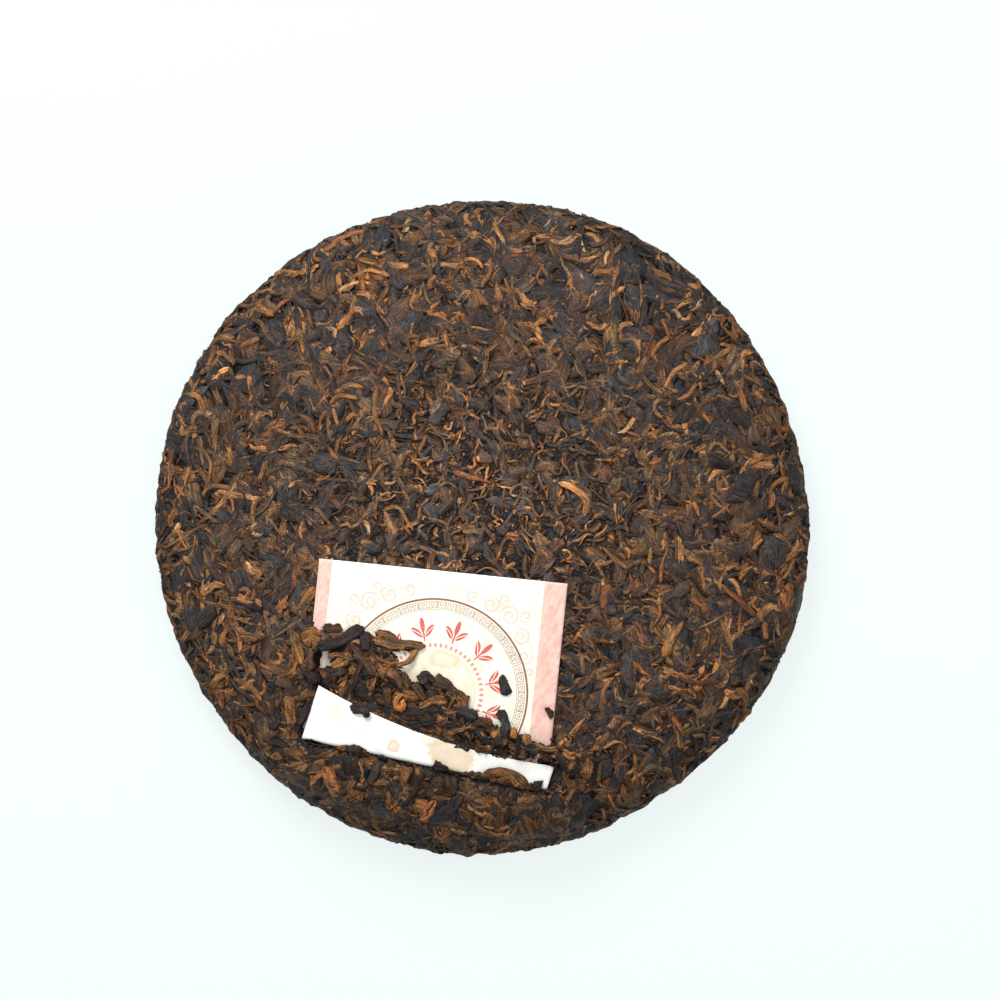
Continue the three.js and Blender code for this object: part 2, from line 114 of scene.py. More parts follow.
# Leaves that stand out on the face: width in mm, lift in mm, then the path in the picture.
FACE_STRANDS = {
    "golden": (
        (1.9, 0.2, (377, 391), (375, 415), (384, 437)),
        (2.2, 0.3, (188, 395), (202, 398), (208, 415)),
        (1.6, 0.2, (202, 446), (214, 465), (208, 489)),
        (1.7, 0.2, (331, 405), (341, 396), (359, 400)),
        (1.4, 0.15, (334, 409), (339, 426)),
        (1.5, 0.2, (288, 341), (302, 340), (305, 354)),
        (2.1, 0.15, (243, 348), (261, 339)),
        (2.1, 0.1, (356, 296), (352, 316), (338, 331)),
        (2.5, 0.2, (325, 253), (345, 235), (365, 231)),
        (1.8, 0.15, (354, 279), (367, 271), (391, 277)),
        (1.7, 0.15, (211, 368), (219, 347)),
        (2.8, 0.3, (558, 483), (573, 487), (588, 502), (584, 516)),
        (1.5, 0.15, (664, 389), (671, 374), (686, 363)),
        (1.3, 0.15, (661, 320), (669, 340)),
        (3.0, 0.25, (662, 655), (669, 638), (682, 620)),
        (1.7, 0.15, (602, 547), (614, 559), (626, 568)),
        (1.4, 0.15, (667, 546), (660, 563), (659, 583)),
        (1.7, 0.15, (609, 678), (601, 691), (604, 703)),
        (1.7, 0.15, (581, 654), (582, 673)),
        (1.2, 0.2, (640, 600), (650, 597), (659, 604), (659, 615), (651, 627)),
        (1.8, 0.15, (686, 557), (701, 564)),
        (1.7, 0.15, (760, 539), (751, 549)),
        (1.9, 0.15, (762, 621), (764, 638)),
        (1.9, 0.2, (582, 719), (573, 731), (560, 747)),
        (2.6, 0.2, (571, 786), (575, 811)),
        (2.9, 0.2, (575, 769), (573, 785)),
        (3.4, 0.15, (534, 811), (545, 799), (556, 790)),
        (1.4, 0.15, (608, 793), (614, 808), (628, 812)),
        (1.5, 0.15, (558, 745), (573, 728), (584, 717)),
        (2.6, 0.1, (749, 708), (740, 723)),
    ),
    "russet": (
        (2.0, 0.2, (721, 587), (738, 600), (754, 616)),
        (4.2, 0.0, (608, 584), (601, 607)),
        (1.8, 0.15, (719, 680), (698, 682), (677, 676)),
        (2.3, 0.15, (671, 715), (684, 735)),
        (1.4, 0.15, (506, 828), (534, 824), (554, 819)),
        (2.0, 0.1, (453, 472), (471, 478), (491, 483)),
    ),
    "olive": (
        (1.8, 0.2, (391, 229), (417, 224), (430, 240)),
        (1.7, 0.2, (228, 321), (238, 309), (259, 308)),
        (1.9, 0.15, (427, 254), (432, 277)),
        (1.5, 0.15, (202, 470), (214, 490)),
        (1.4, 0.1, (314, 356), (316, 385)),
    ),
    "slate": (
        (1.1, 0.2, (307, 343), (314, 358), (315, 372)),
        (1.2, 0.2, (270, 480), (284, 496), (291, 520)),
        (1.1, 0.15, (311, 262), (309, 296)),
        (1.2, 0.2, (640, 600), (655, 604), (678, 619)),
    ),
}

# Larger leaves over the ticket, by colour, in the same way.
TICKET_STRANDS = {
    "charcoal": (
        (3.6, 0.6, (319, 645), (340, 640), (365, 626)),
        (3.4, 0.5, (366, 630), (368, 648)),
        (2.6, 0.5, (327, 682), (333, 670), (349, 668)),
        (4.2, 0.3, (364, 684), (378, 705)),
        (3.2, 0.6, (421, 680), (428, 673), (436, 679)),
        (2.0, 0.3, (384, 707), (417, 710), (440, 705)),
        (3.6, 0.5, (458, 706), (478, 713)),
        (1.6, 0.5, (545, 706), (551, 711), (550, 716)),
        (5.6, 0.6, (356, 742), (353, 771)),
        (1.9, 0.3, (301, 742), (334, 747)),
        (3.0, 0.6, (384, 752), (371, 779)),
        (3.6, 0.6, (500, 790), (512, 782), (522, 792)),
        (1.3, 0.5, (518, 733), (517, 753)),
        (2.4, 0.7, (301, 723), (307, 710), (313, 699)),
        (2.6, 0.1, (374, 705), (392, 713)),
        (2.8, 0.1, (414, 722), (429, 728)),
        (2.6, 0.1, (456, 738), (472, 745)),
        (3.0, 0.0, (302, 662), (311, 671), (322, 680)),
        (3.4, 0.4, (398, 800), (412, 788), (419, 770)),
        (3.6, 0.4, (436, 812), (452, 804), (462, 790)),
    ),
    "slate": (
        (2.8, 0.9, (499, 708), (506, 721), (502, 733)),
        (2.4, 0.4, (410, 724), (438, 717)),
        (4.0, 0.4, (366, 762), (360, 778)),
    ),
    "brown": (
        (3.0, 0.6, (325, 626), (344, 628)),
        (1.5, 0.9, (367, 652), (359, 671), (354, 686), (347, 692)),
        (3.6, 0.4, (434, 677), (448, 684), (456, 692)),
        (2.7, 0.7, (415, 681), (426, 697)),
        (2.6, 0.6, (472, 722), (483, 718), (491, 723)),
        (4.3, 0.6, (450, 769), (453, 790)),
        (3.6, 0.5, (356, 652), (368, 660), (376, 672)),
        (3.4, 0.4, (388, 668), (398, 676), (404, 686)),
        (3.0, 0.4, (378, 694), (390, 700), (402, 712)),
        (2.9, 0.1, (312, 645), (311, 656), (313, 668)),
        (2.8, 0.1, (397, 712), (411, 719)),
        (2.6, 0.1, (440, 732), (455, 738)),
        (2.2, 0.1, (492, 749), (508, 754)),
    ),
    "ochre": (
        (3.3, 0.8, (375, 638), (392, 642), (426, 645)),
        (2.8, 0.6, (377, 631), (398, 637)),
        (5.6, 0.5, (305, 638), (314, 634), (323, 637)),
        (3.4, 0.3, (297, 630), (300, 646), (305, 662)),
        (2.8, 0.4, (452, 688), (461, 694), (468, 700)),
        (2.6, 0.7, (389, 685), (389, 702)),
        (2.6, 0.6, (420, 705), (433, 697), (448, 699)),
        (3.2, 0.6, (409, 760), (404, 779)),
        (2.6, 0.9, (481, 772), (496, 767), (515, 770), (526, 781), (521, 790)),
        (2.4, 0.6, (525, 731), (528, 741)),
        (1.8, 0.7, (398, 663), (410, 659), (418, 647)),
        (2.6, 0.2, (428, 725), (443, 730)),
        (2.6, 0.2, (474, 744), (490, 749)),
        (3.0, 0.4, (334, 664), (344, 660), (352, 652)),
        (3.2, 0.4, (404, 690), (414, 694), (424, 690)),
    ),
    "golden": (
        (1.8, 0.6, (328, 753), (349, 742)),
        (4.2, 0.6, (327, 763), (333, 778), (340, 791)),
        (1.9, 1.0, (405, 691), (398, 695), (396, 704), (403, 706), (405, 697)),
        (2.0, 0.6, (514, 725), (514, 735)),
        (1.3, 0.8, (331, 655), (339, 652), (356, 657)),
        (1.6, 1.0, (497, 776), (510, 773), (518, 782)),
        (3.2, 0.4, (394, 806), (402, 798), (408, 786)),
        (3.0, 0.4, (436, 796), (430, 806), (420, 814)),
        (3.4, 0.4, (468, 800), (480, 806), (492, 804)),
        (2.6, 0.4, (482, 822), (498, 826), (510, 822)),
    ),
}

# Leaves that lie on the folded strip itself.
STRIP_STRANDS = {
    "charcoal": (
        (2.9, 0.4, (352, 704), (361, 707), (371, 709)),
        (1.9, 0.3, (369, 709), (367, 715)),
        (2.2, 0.5, (533, 779), (541, 783)),
        (5.2, 0.5, (356, 744), (354, 770)),
        (2.6, 0.5, (300, 744), (316, 744), (334, 748)),
    ),
    "slate": ((3.0, 0.6, (434, 763), (449, 766)),),
    "brown": (
        (2.8, 0.5, (384, 754), (374, 775)),
        (3.0, 0.4, (460, 775), (476, 772)),
    ),
    "ochre": (
        (3.0, 0.5, (409, 761), (405, 779)),
        (2.6, 0.9, (481, 773), (496, 768), (515, 771), (526, 782), (521, 792)),
    ),
    "golden": (
        (1.8, 0.6, (328, 754), (349, 743)),
        (1.5, 0.8, (497, 777), (510, 774), (518, 783)),
    ),
}

# The loose scrap on the ticket.
SCRAP = ((3.6, 0.35, (502.5, 673.0), (506.5, 693.5)),)


def smooth(x, low, high):
    """0 below low, 1 above high, and an even rise between."""
    t = np.clip((np.asarray(x, dtype=float) - low) / (high - low), 0.0, 1.0)
    return t * t * (3.0 - 2.0 * t)


def from_picture(x, y):
    """The place on the cake, in millimetres, of a point of the picture."""
    return (x - PICTURE_CENTRE[0]) * PICTURE_SCALE, (PICTURE_CENTRE[1] - y) * PICTURE_SCALE


def to_picture(x, y):
    """The point of the picture where a place on the cake shows."""
    return x / PICTURE_SCALE + PICTURE_CENTRE[0], PICTURE_CENTRE[1] - y / PICTURE_SCALE


def dome_height(r):
    """The height of the even face at a distance from the axis."""
    return EDGE_HEIGHT + (CENTRE_HEIGHT - EDGE_HEIGHT) * (1.0 - (r / CAKE_RADIUS) ** DOME_POWER)


def cake_section():
    """Half of the cake's section, from the middle of the face to the middle of the back: lengths, then r, z
    and the outward normal's two parts."""
    shoulder = CAKE_RADIUS - TOP_ROUNDING
    heel = CAKE_RADIUS - BACK_ROUNDING
    face = np.linspace(0.0, shoulder, 120, endpoint=False)
    round_top = np.linspace(0.0, math.pi / 2, 40, endpoint=False)
    round_back = np.linspace(math.pi / 2, 0.0, 40, endpoint=False)
    back = np.linspace(heel, 0.0, 160)
    top_r = shoulder + TOP_ROUNDING * np.sin(round_top)
    knot = KNOT_DEPTH * (1.0 - np.minimum(back / KNOT_RADIUS, 1.0) ** 2) ** 2
    r = np.concatenate([face, top_r, heel + BACK_ROUNDING * np.sin(round_back), back])
    z = np.concatenate([
        dome_height(face),
        BELLY_HEIGHT + (dome_height(top_r) - BELLY_HEIGHT) * np.cos(round_top),
        BELLY_HEIGHT * (1.0 - np.cos(round_back)),
        knot,
    ])
    lengths = np.concatenate([[0.0], np.cumsum(np.hypot(np.diff(r), np.diff(z)))])
    slope_r, slope_z = np.gradient(r, lengths), np.gradient(z, lengths)
    size = np.hypot(slope_r, slope_z)
    return lengths, r, z, -slope_z / size, slope_r / size


SECTION_LENGTH, SECTION_R, SECTION_Z, NORMAL_R, NORMAL_Z = cake_section()
WHOLE_LENGTH = SECTION_LENGTH[-1]
FACE_POINTS = int(np.argmax(SECTION_R)) + 1


def to_chart(x, y):
    """A place on the face, with its distance from the middle measured along the skin."""
    r = np.hypot(x, y)
    stretch = np.interp(r, SECTION_R[:FACE_POINTS], SECTION_LENGTH[:FACE_POINTS]) / np.maximum(r, 1e-6)
    return x * stretch, y * stretch


def from_chart(x, y, side):
    """Distance from the axis, height, and the outward normal's two parts, for places charted on a side."""
    along = np.hypot(x, y)
    along = along if side == "face" else WHOLE_LENGTH - along
    values = (SECTION_R, SECTION_Z, NORMAL_R, NORMAL_Z)
    return [np.interp(along, SECTION_LENGTH, column) for column in values]


def flat_place(x, y, side):
    """The x and y of charted places on the even skin."""
    r = from_chart(x, y, side)[0]
    angle = np.arctan2(y, x)
    return r * np.cos(angle), r * np.sin(angle)


def rim_relief(x, y, z):
    """The lumps of the side, round the cake."""
    r = np.hypot(x, y)
    relief = np.zeros(np.shape(x))
    out = (r > RIM_START) & (z > 1.0)
    strength = RIM_RELIEF * smooth(r[out], RIM_START, CAKE_RADIUS - 2.0)
    waves = wave_noise(x[out], y[out], z[out], 4.5) + 0.6 * wave_noise(x[out] + 70.0, y[out], z[out], 1.7)
    relief[out] = strength * waves
    return relief


def to_space(x, y, height, side):
    """Charted places at a height over the even skin, as points in space that stay above the table."""
    r, z, normal_r, normal_z = from_chart(x, y, side)
    angle = np.arctan2(y, x)
    height = height + rim_relief(r * np.cos(angle), r * np.sin(angle), z)
    waves = sum(h * np.cos(lobes * angle + math.radians(phase)) for lobes, h, phase in OUTLINE_WAVES)
    stretch = 1.0 + waves * smooth(r, CAKE_RADIUS - 2 * TOP_ROUNDING, CAKE_RADIUS) / CAKE_RADIUS
    reach = (r + height * normal_r) * stretch
    z = z + height * normal_z
    z = np.where(z < TABLE_GAP, TABLE_GAP * np.exp(np.minimum(z - TABLE_GAP, 0.0) / TABLE_GAP), z)
    return np.stack([reach * np.cos(angle), reach * np.sin(angle), z], axis=-1)


def ridge_height(x, y):
    """The height of the leaves piled over the ticket at places on the face."""
    height = np.zeros(np.shape(x))
    for top, _, _, spine in RIDGES:
        for (ax, ay, aw), (bx, by, bw) in zip(spine, spine[1:]):
            ex, ey = bx - ax, by - ay
            part = np.clip(((x - ax) * ex + (y - ay) * ey) / (ex * ex + ey * ey), 0.0, 1.0)
            away = np.hypot(x - ax - part * ex, y - ay - part * ey)
            half = aw + (bw - aw) * part
            height = np.maximum(height, top * (1.0 - smooth(away / half, 0.55, 1.05)))
    return height * (1.0 - smooth(np.hypot(x, y), RIDGE_END, CAKE_RADIUS))


def by_radius(x, y, rows):
    """A value that goes with the distance from the axis, from rows of distance and value."""
    return np.interp(np.hypot(x, y), *np.transpose(rows))


# The ticket's own plane: across from its left edge and down from its top edge.
ACROSS = np.array((math.cos(TICKET_TURN), math.sin(TICKET_TURN)))
DOWN = np.array((ACROSS[1], -ACROSS[0]))


def fold_at(across):
    """How far down the sheet is folded."""
    return FOLD_LEFT + (FOLD_RIGHT - FOLD_LEFT) * across / TICKET_WIDTH


def end_at(across):
    """How far down the flattened sheet ends."""
    return TICKET_LENGTH + EDGE_BOW * (across / BOW_CENTRE - 1.0) ** 2


def sink_at(across):
    """How far down the lower layer starts to sink under the leaves."""
    return SINK_LEFT + (SINK_RIGHT - SINK_LEFT) * across / TICKET_WIDTH


def on_ticket(x, y):
    """Across and down on the sheet, for places on the cake."""
    dx, dy = x - TICKET_CORNER[0], y - TICKET_CORNER[1]
    return dx * ACROSS[0] + dy * ACROSS[1], dx * DOWN[0] + dy * DOWN[1]


def off_ticket(across, down):
    """The place on the cake for a point of the sheet that isn't folded."""
    return (
        TICKET_CORNER[0] + across * ACROSS[0] + down * DOWN[0],
        TICKET_CORNER[1] + across * ACROSS[1] + down * DOWN[1],
    )


FOLD_START = np.array(off_ticket(0.0, FOLD_LEFT))
FOLD_LINE = np.array(off_ticket(TICKET_WIDTH, FOLD_RIGHT)) - FOLD_START
FOLD_LINE = FOLD_LINE / np.hypot(*FOLD_LINE)
FOLD_SIDE = np.array((-FOLD_LINE[1], FOLD_LINE[0]))


def from_fold(x, y):
    """The distance from the fold, on the side where the paper lies."""
    return (x - FOLD_START[0]) * FOLD_SIDE[0] + (y - FOLD_START[1]) * FOLD_SIDE[1]


def over_fold(x, y):
    """The mirror image of places in the fold."""
    away = from_fold(x, y)
    return x - 2 * away * FOLD_SIDE[0], y - 2 * away * FOLD_SIDE[1]


def beside_fold(x, y, across, margin):
    """Whether places lie over the fold and between the sheet's two sides, or in a margin round that."""
    return (across > -margin) & (across < TICKET_WIDTH + margin) & (from_fold(x, y) > -margin)


def in_panel(x, y, margin=0.0):
    """Whether the lower layer of the paper, or a margin round it, covers places on the face."""
    across, down = on_ticket(x, y)
    return beside_fold(x, y, across, margin) & (down > -margin)


def in_flap(x, y, margin=0.0):
    """Whether the folded strip, or a margin round it, covers places on the face."""
    across, down = on_ticket(*over_fold(x, y))
    return beside_fold(x, y, across, margin) & (down < end_at(across) + margin)


def paper_shows(x, y):
    """Whether the paper is bare there: the panel and the strip, each above its own border of leaves."""
    px, py = to_picture(x, y)
    panel_border = np.interp(px, *np.transpose(PANEL_BORDER))
    strip_border = np.interp(px, *np.transpose(STRIP_BORDER))
    bare = (in_panel(x, y) & (py < panel_border)) | (in_flap(x, y) & (py < strip_border))
    for spot_x, spot_y, half_x, half_y in PAPER_SPOTS:
        bare |= ((px - spot_x) / half_x) ** 2 + ((py - spot_y) / half_y) ** 2 < 1.0
    return bare


def panel_lift(x, y):
    """The height of the paper's lower layer over the even face."""
    across, down = on_ticket(x, y)
    sunk = smooth((down - sink_at(across)) / SINK_OVER, 0.0, 1.0)
    return SHEET_LIFT + (SHEET_SINK - SHEET_LIFT) * sunk


def soft_limit(height, top, softness):
    """Heights that near a top without reaching it, as pressing does."""
    over = height - (top - softness)
    return np.where(over > 0.0, top - softness * np.exp(-np.maximum(over, 0.0) / softness), height)


# Leaves. A leaf is a closed tube with a ridged section, bent along a spine that lies in the skin.

# What shades the leaves. Rows give a distance from the axis and the value there.
SHADE_SPREAD = 0.21  # how much a leaf is lighter or darker than its colour
BURIED_SHADE = ((20.0, 0.6), (75.0, 0.24))  # the light left on what lies under other leaves
BURIED_DEPTH = 0.85
RADIAL_SHADE = ((15.0, 1.74), (45.0, 0.97), (88.0, 0.89), (96.0, 0.8), (100.0, 0.5))
LOW_SHADE = 0.3  # how much darker the face gets towards its lower edge
FILM_SHARE = ((20.0, 1.0), (50.0, 0.55), (85.0, 0.2))  # fine tea pressed over the leaves
CELL_MARGIN = 0.06  # a leaf's margin in its cell of the bake map, as a share of the cell

# A section's points, from its left edge over the top, in half widths and half thicknesses.
BROAD_SECTION = ((-1.0, -0.7), (-0.78, 0.4), (-0.3, 0.8), (0.2, 0.5), (0.7, 0.8), (1.0, -0.7))
STRIP_SECTION = ((-1.0, -0.6), (-0.55, 0.8), (0.05, 0.45), (0.6, 1.0), (1.0, -0.6))
CRUMB_SECTION = ((-1.0, -0.5), (-0.3, 0.9), (0.5, 0.7), (1.0, -0.5))
CRUMPLED_SECTION = (
    (-1.0, -0.5), (-0.95, 0.4), (-0.5, 1.0), (-0.2, 0.5), (0.12, 0.2),
    (0.45, 0.9), (0.88, 0.7), (1.0, -0.4), (0.0, -0.8),
)

# Each form's length, width and thickness in mm, from least to most; its turn, sway and kink in radians,
# twist, tilt in mm, raggedness, and wrinkles in mm; how much painted shade darkens its edges and tips; its
# rings and section.
FORM_PARTS = (
    "length", "width", "thick", "turn", "sway", "kink", "twist", "tilt", "ragged", "wrinkle", "edge",
    "rings", "section",
)
FORM_ROWS = {
    "broad": (
        (6.0, 17.0), (3.5, 8.5), (0.5, 0.9), 0.6, 0.2, 0.3, 0.1, 0.2, 0.14, 0.05, 0.5, 7, BROAD_SECTION),
    "strip": (
        (4.5, 17.0), (1.0, 3.2), (0.6, 1.1), 1.1, 0.35, 0.8, 0.3, 0.3, 0.12, 0.06, 0.65, 9, STRIP_SECTION),
    "shred": (
        (2.6, 12.0), (0.8, 2.6), (0.6, 1.0), 1.5, 0.5, 1.1, 0.4, 0.25, 0.18, 0.06, 0.7, 7, STRIP_SECTION),
    "ribbon": (
        (4.0, 12.5), (1.3, 3.0), (0.8, 1.2), 1.7, 0.55, 1.0, 0.5, 0.25, 0.12, 0.06, 0.7, 9, STRIP_SECTION),
    "scrap": (
        (6.6, 6.6), (3.6, 3.6), (0.7, 0.7), 0.0, 0.0, 0.0, 0.0, 0.0, 0.04, 0.03, 0.2, 10, BROAD_SECTION),
    "stem": (
        (8.0, 24.0), (0.7, 1.4), (0.8, 1.1), 0.9, 0.2, 0.4, 0.2, 0.2, 0.08, 0.05, 0.4, 10, STRIP_SECTION),
    "crumb": (
        (1.0, 3.4), (0.6, 1.7), (0.4, 0.7), 0.6, 0.2, 0.3, 0.3, 0.15, 0.2, 0.05, 0.4, 3, CRUMB_SECTION),
    "crumpled": (
        (6.0, 15.0), (2.6, 5.5), (1.2, 2.2), 1.5, 0.4, 0.9, 0.5, 0.6, 0.15, 0.14, 0.6, 10, CRUMPLED_SECTION),
}
LEAF_FORMS = {name: dict(zip(FORM_PARTS, row)) for name, row in FORM_ROWS.items()}


class Leaves:
    """A batch of leaves as arrays: points in the chart with heights, and what the finish needs."""

    PARTS = ("x", "y", "height", "grain", "colour")

    def __init__(self, form, spine, size, colours, draw):
        x, y, height, angle, twist = spine
        length, width, thick = (np.asarray(value)[:, None] for value in size)
        count, rings = x.shape
        section = np.array(form["section"])
        t = np.linspace(-1.0, 1.0, rings)[None, :]
        blunt = draw.uniform(3.5, 12.0, (count, 1))
        lean = draw.normal(0.0, 0.25, (count, 1))
        full = np.sqrt(np.maximum(1.0 - np.abs(t) ** blunt, 0.04)) * (1.0 + lean * t)
        rough = draw.normal(0.0, form["ragged"] / 1.7, (count, rings + 2, len(section)))
        full = full[:, :, None] * (1.0 + rough[:, :-2] + rough[:, 1:-1] + rough[:, 2:])
        profile = section[None] + draw.normal(0.0, 0.1, (count, len(section), 2))
        cup = draw.normal(0.0, 0.25, (count, 1))
        across = profile[:, :, 0] * 0.5 * width
        up = (profile[:, :, 1] + cup * (profile[:, :, 0] ** 2 - 0.4)) * 0.5 * thick
        across = across[:, None, :] * full
        up = up[:, None, :] * (0.45 + 0.55 * full) + draw.normal(0.0, form["wrinkle"], full.shape)
        cos, sin = np.cos(twist)[:, :, None], np.sin(twist)[:, :, None]
        sideways, raised = across * cos - up * sin, across * sin + up * cos
        self.x = x[:, :, None] - np.sin(angle)[:, :, None] * sideways
        self.y = y[:, :, None] + np.cos(angle)[:, :, None] * sideways
        self.height = height[:, :, None] + raised
        tip = 0.25 * np.minimum(width, thick)
        ends = np.array((0, -1))
        sign = np.array((-1.0, 1.0))[None]
        self.tip_x = x[:, ends] + sign * np.cos(angle[:, ends]) * tip
        self.tip_y = y[:, ends] + sign * np.sin(angle[:, ends]) * tip
        self.tip_height = height[:, ends]
        along = (0.5 * length * t)[:, :, None]
        seed = draw.uniform(0.0, 400.0, (count, 1, 1))
        self.grain = np.stack(np.broadcast_arrays(across + seed, up, along + 0.37 * seed), axis=-1)
        tip_along = 0.5 * length * sign + 0.37 * seed[:, :, 0]
        tip_across = np.broadcast_to(seed[:, :, 0], (count, 2))
        self.tip_grain = np.stack([tip_across, np.zeros((count, 2)), tip_along], axis=-1)
        # painted shade: each leaf's colour is darker towards its edges, where it falls away into the gaps
        edge = 1.0 - form["edge"] * np.abs(section[:, 0]) ** 3
        fade = 1.0 + draw.normal(0.0, 0.16, (count, 1)) * t
        spots = 1.0 + draw.normal(0.0, 0.1, full.shape)
        strength = np.maximum(fade[:, :, None] * edge * spots, 0.2)
        self.colour = strength[..., None] * colours[:, None, None, :]
        # painted shade: the tips are darkened by the same share
        self.tip_colour = (1.0 - form["edge"]) * np.broadcast_to(colours[:, None, :], (count, 2, 3))

    def with_tips(self, part):
        """A part of every leaf in one row, its two tips last."""
        values, tips = getattr(self, part), getattr(self, "tip_" + part)
        return np.concatenate([values.reshape(len(values), -1, *tips.shape[2:]), tips], axis=1)

    def keep(self, wanted):
        """Drops the leaves that aren't wanted."""
        for part in self.PARTS:
            for name in (part, "tip_" + part):
                setattr(self, name, getattr(self, name)[wanted])
        return self

    def press(self, side, top, low=None, softness=0.15):
        """Flattens what stands over a top and lifts what is under a lower limit, both given by place."""
        for name in ("", "tip_"):
            x, y = getattr(self, name + "x"), getattr(self, name + "y")
            height = getattr(self, name + "height")
            flat = flat_place(x, y, side)
            if low is not None:
                height = -soft_limit(-height, -low(*flat), softness)
            setattr(self, name + "height", soft_limit(height, top(*flat), softness))
        return self


def grown(form_name, centres, heights, palette, draw, scale=1.0, headings=None):
    """Leaves at random round centres in the chart."""
    form = LEAF_FORMS[form_name]
    count, rings = len(centres), form["rings"]
    scale = np.broadcast_to(scale, (count,))
    ranges = (form[key] for key in ("length", "width", "thick"))
    length, width, thick = (low + (high - low) * draw.beta(1.5, 2.4, count) for low, high in ranges)
    length, width = length * scale, width * scale
    t = np.linspace(-1.0, 1.0, rings)[None, :]
    if headings is None:
        headings = draw.uniform(0.0, 2 * math.pi, count)
    turn = draw.normal(0.0, 0.6 * form["turn"], (count, 1))
    sway = draw.normal(0.0, form["sway"], (count, 1))
    phase = draw.uniform(0.0, 2 * math.pi, (count, 1))
    bend_at = draw.uniform(-0.7, 0.7, (count, 1))
    kink = draw.normal(0.0, form["kink"], (count, 1)) * (draw.uniform(0.0, 1.0, (count, 1)) < 0.5)
    angle = headings[:, None] + 0.5 * turn * t + sway * np.sin(2.6 * t + phase)
    angle = angle + kink * smooth(t, bend_at - 0.15, bend_at + 0.15)
    step = (length / (rings - 1))[:, None]
    x = np.cumsum(np.cos(angle) * step, axis=1)
    y = np.cumsum(np.sin(angle) * step, axis=1)
    x += centres[:, :1] - x.mean(axis=1, keepdims=True)
    y += centres[:, 1:] - y.mean(axis=1, keepdims=True)
    tilt = draw.normal(0.0, 0.5 * form["tilt"], (count, 1))
    rise = tilt * t + 0.3 * form["tilt"] * np.sin(3.1 * t + phase[::-1])
    twist = draw.normal(0.0, 0.5 * form["twist"], (count, 1)) * (1.0 + t)
    spine = (x, y, heights[:, None] + rise, angle, twist)
    return Leaves(form, spine, (length, width, thick), drawn_colours(palette, count, draw), draw)


def traced(form_name, rows, palette, draw, height_at, thick=1.0):
    """Single leaves along paths in the picture: rows of width in mm, lift in mm, and the path's points."""
    form = LEAF_FORMS[form_name]
    rings = form["rings"] + 4
    columns = []
    for width, lift, *path in rows:
        px, py = np.array(path, dtype=float).T
        x, y = to_chart(*from_picture(px, py))
        far = np.concatenate([[0.0], np.cumsum(np.hypot(np.diff(x), np.diff(y)))])
        at = np.linspace(0.0, far[-1], rings)
        x, y = np.interp(at, far, x), np.interp(at, far, y)
        for _ in range(2):
            x[1:-1] = 0.25 * x[:-2] + 0.5 * x[1:-1] + 0.25 * x[2:]
            y[1:-1] = 0.25 * y[:-2] + 0.5 * y[1:-1] + 0.25 * y[2:]
        height = height_at(*flat_place(x, y, "face")) + lift
        angle = np.unwrap(np.arctan2(np.gradient(y), np.gradient(x)))
        columns.append((x, y, height, angle, far[-1], width))
    x, y, height, angle = (np.array([row[k] for row in columns]) for k in range(4))
    length, width = (np.array([row[k] for row in columns]) for k in (4, 5))
    count = len(rows)
    t = np.linspace(-1.0, 1.0, rings)[None]
    twist = draw.normal(0.0, 0.15, (count, 1)) + draw.normal(0.0, 0.25, (count, 1)) * t
    size = (length, width, np.full(count, thick))
    return Leaves(form, (x, y, height, angle, twist), size, drawn_colours(palette, count, draw), draw)


def drawn_colours(palette, count, draw):
    """A colour for each leaf, from rows of share and colour, somewhat lighter or darker than its row's."""
    shares = np.array([share for share, _ in palette])
    picked = draw.choice(len(palette), count, p=shares / shares.sum())
    colours = np.array([tuple(colour) for _, colour in palette])[picked]
    light = np.exp(draw.normal(0.0, SHADE_SPREAD, (count, 1)))
    warm = draw.normal(0.0, 0.05, (count, 1)) * np.array((1.0, 0.0, -1.0))
    return colours * light * (1.0 + warm)


def leaf_tints(x, y, heights, colours, side):
    """Colours shaded by how deep in the cake and where on it a point lies, and the film's share there."""
    face = side == "face"
    ridge = ridge_height(x, y)
    open_top = crest(x, y) + (ridge if face else 0.0)
    buried = by_radius(x, y, BURIED_SHADE) if face else BURIED_SHADE[-1][1]
    light = buried + (1.0 - buried) * smooth(heights - open_top, -BURIED_DEPTH, -0.1)
    if face:
        light = light * by_radius(x, y, RADIAL_SHADE) * (1.0 - LOW_SHADE * smooth(-y, 45.0, 95.0))
    film = by_radius(x, y, FILM_SHARE) * smooth(light, 0.3, 1.0) * smooth(-ridge, -0.8, 0.0)
    return np.concatenate([colours * light[..., None], film[..., None]], axis=-1)


def tube_faces(rings, sides):
    """A tube's quads between its rings, and the triangles at its two tips, which are its last two points."""
    k, j = np.arange(rings - 1)[:, None], np.arange(sides)[None, :]
    nxt = (j + 1) % sides
    near, far = k * sides, (k + 1) * sides
    quads = np.stack([near + j, near + nxt, far + nxt, far + j], axis=-1)
    j, nxt = j[0], nxt[0]
    last = (rings - 1) * sides
    start_cap = np.stack([nxt, j, np.full(sides, rings * sides)], axis=-1)
    end_cap = np.stack([last + j, last + nxt, np.full(sides, rings * sides + 1)], axis=-1)
    return quads.reshape(-1, 4), np.concatenate([start_cap, end_cap])


def face_rows(quads, triangles):
    """The corners of all faces in one row, and the faces' sizes."""
    totals = np.concatenate([np.full(len(quads), 4), np.full(len(triangles), 3)])
    return np.concatenate([quads.ravel(), triangles.ravel()]), totals


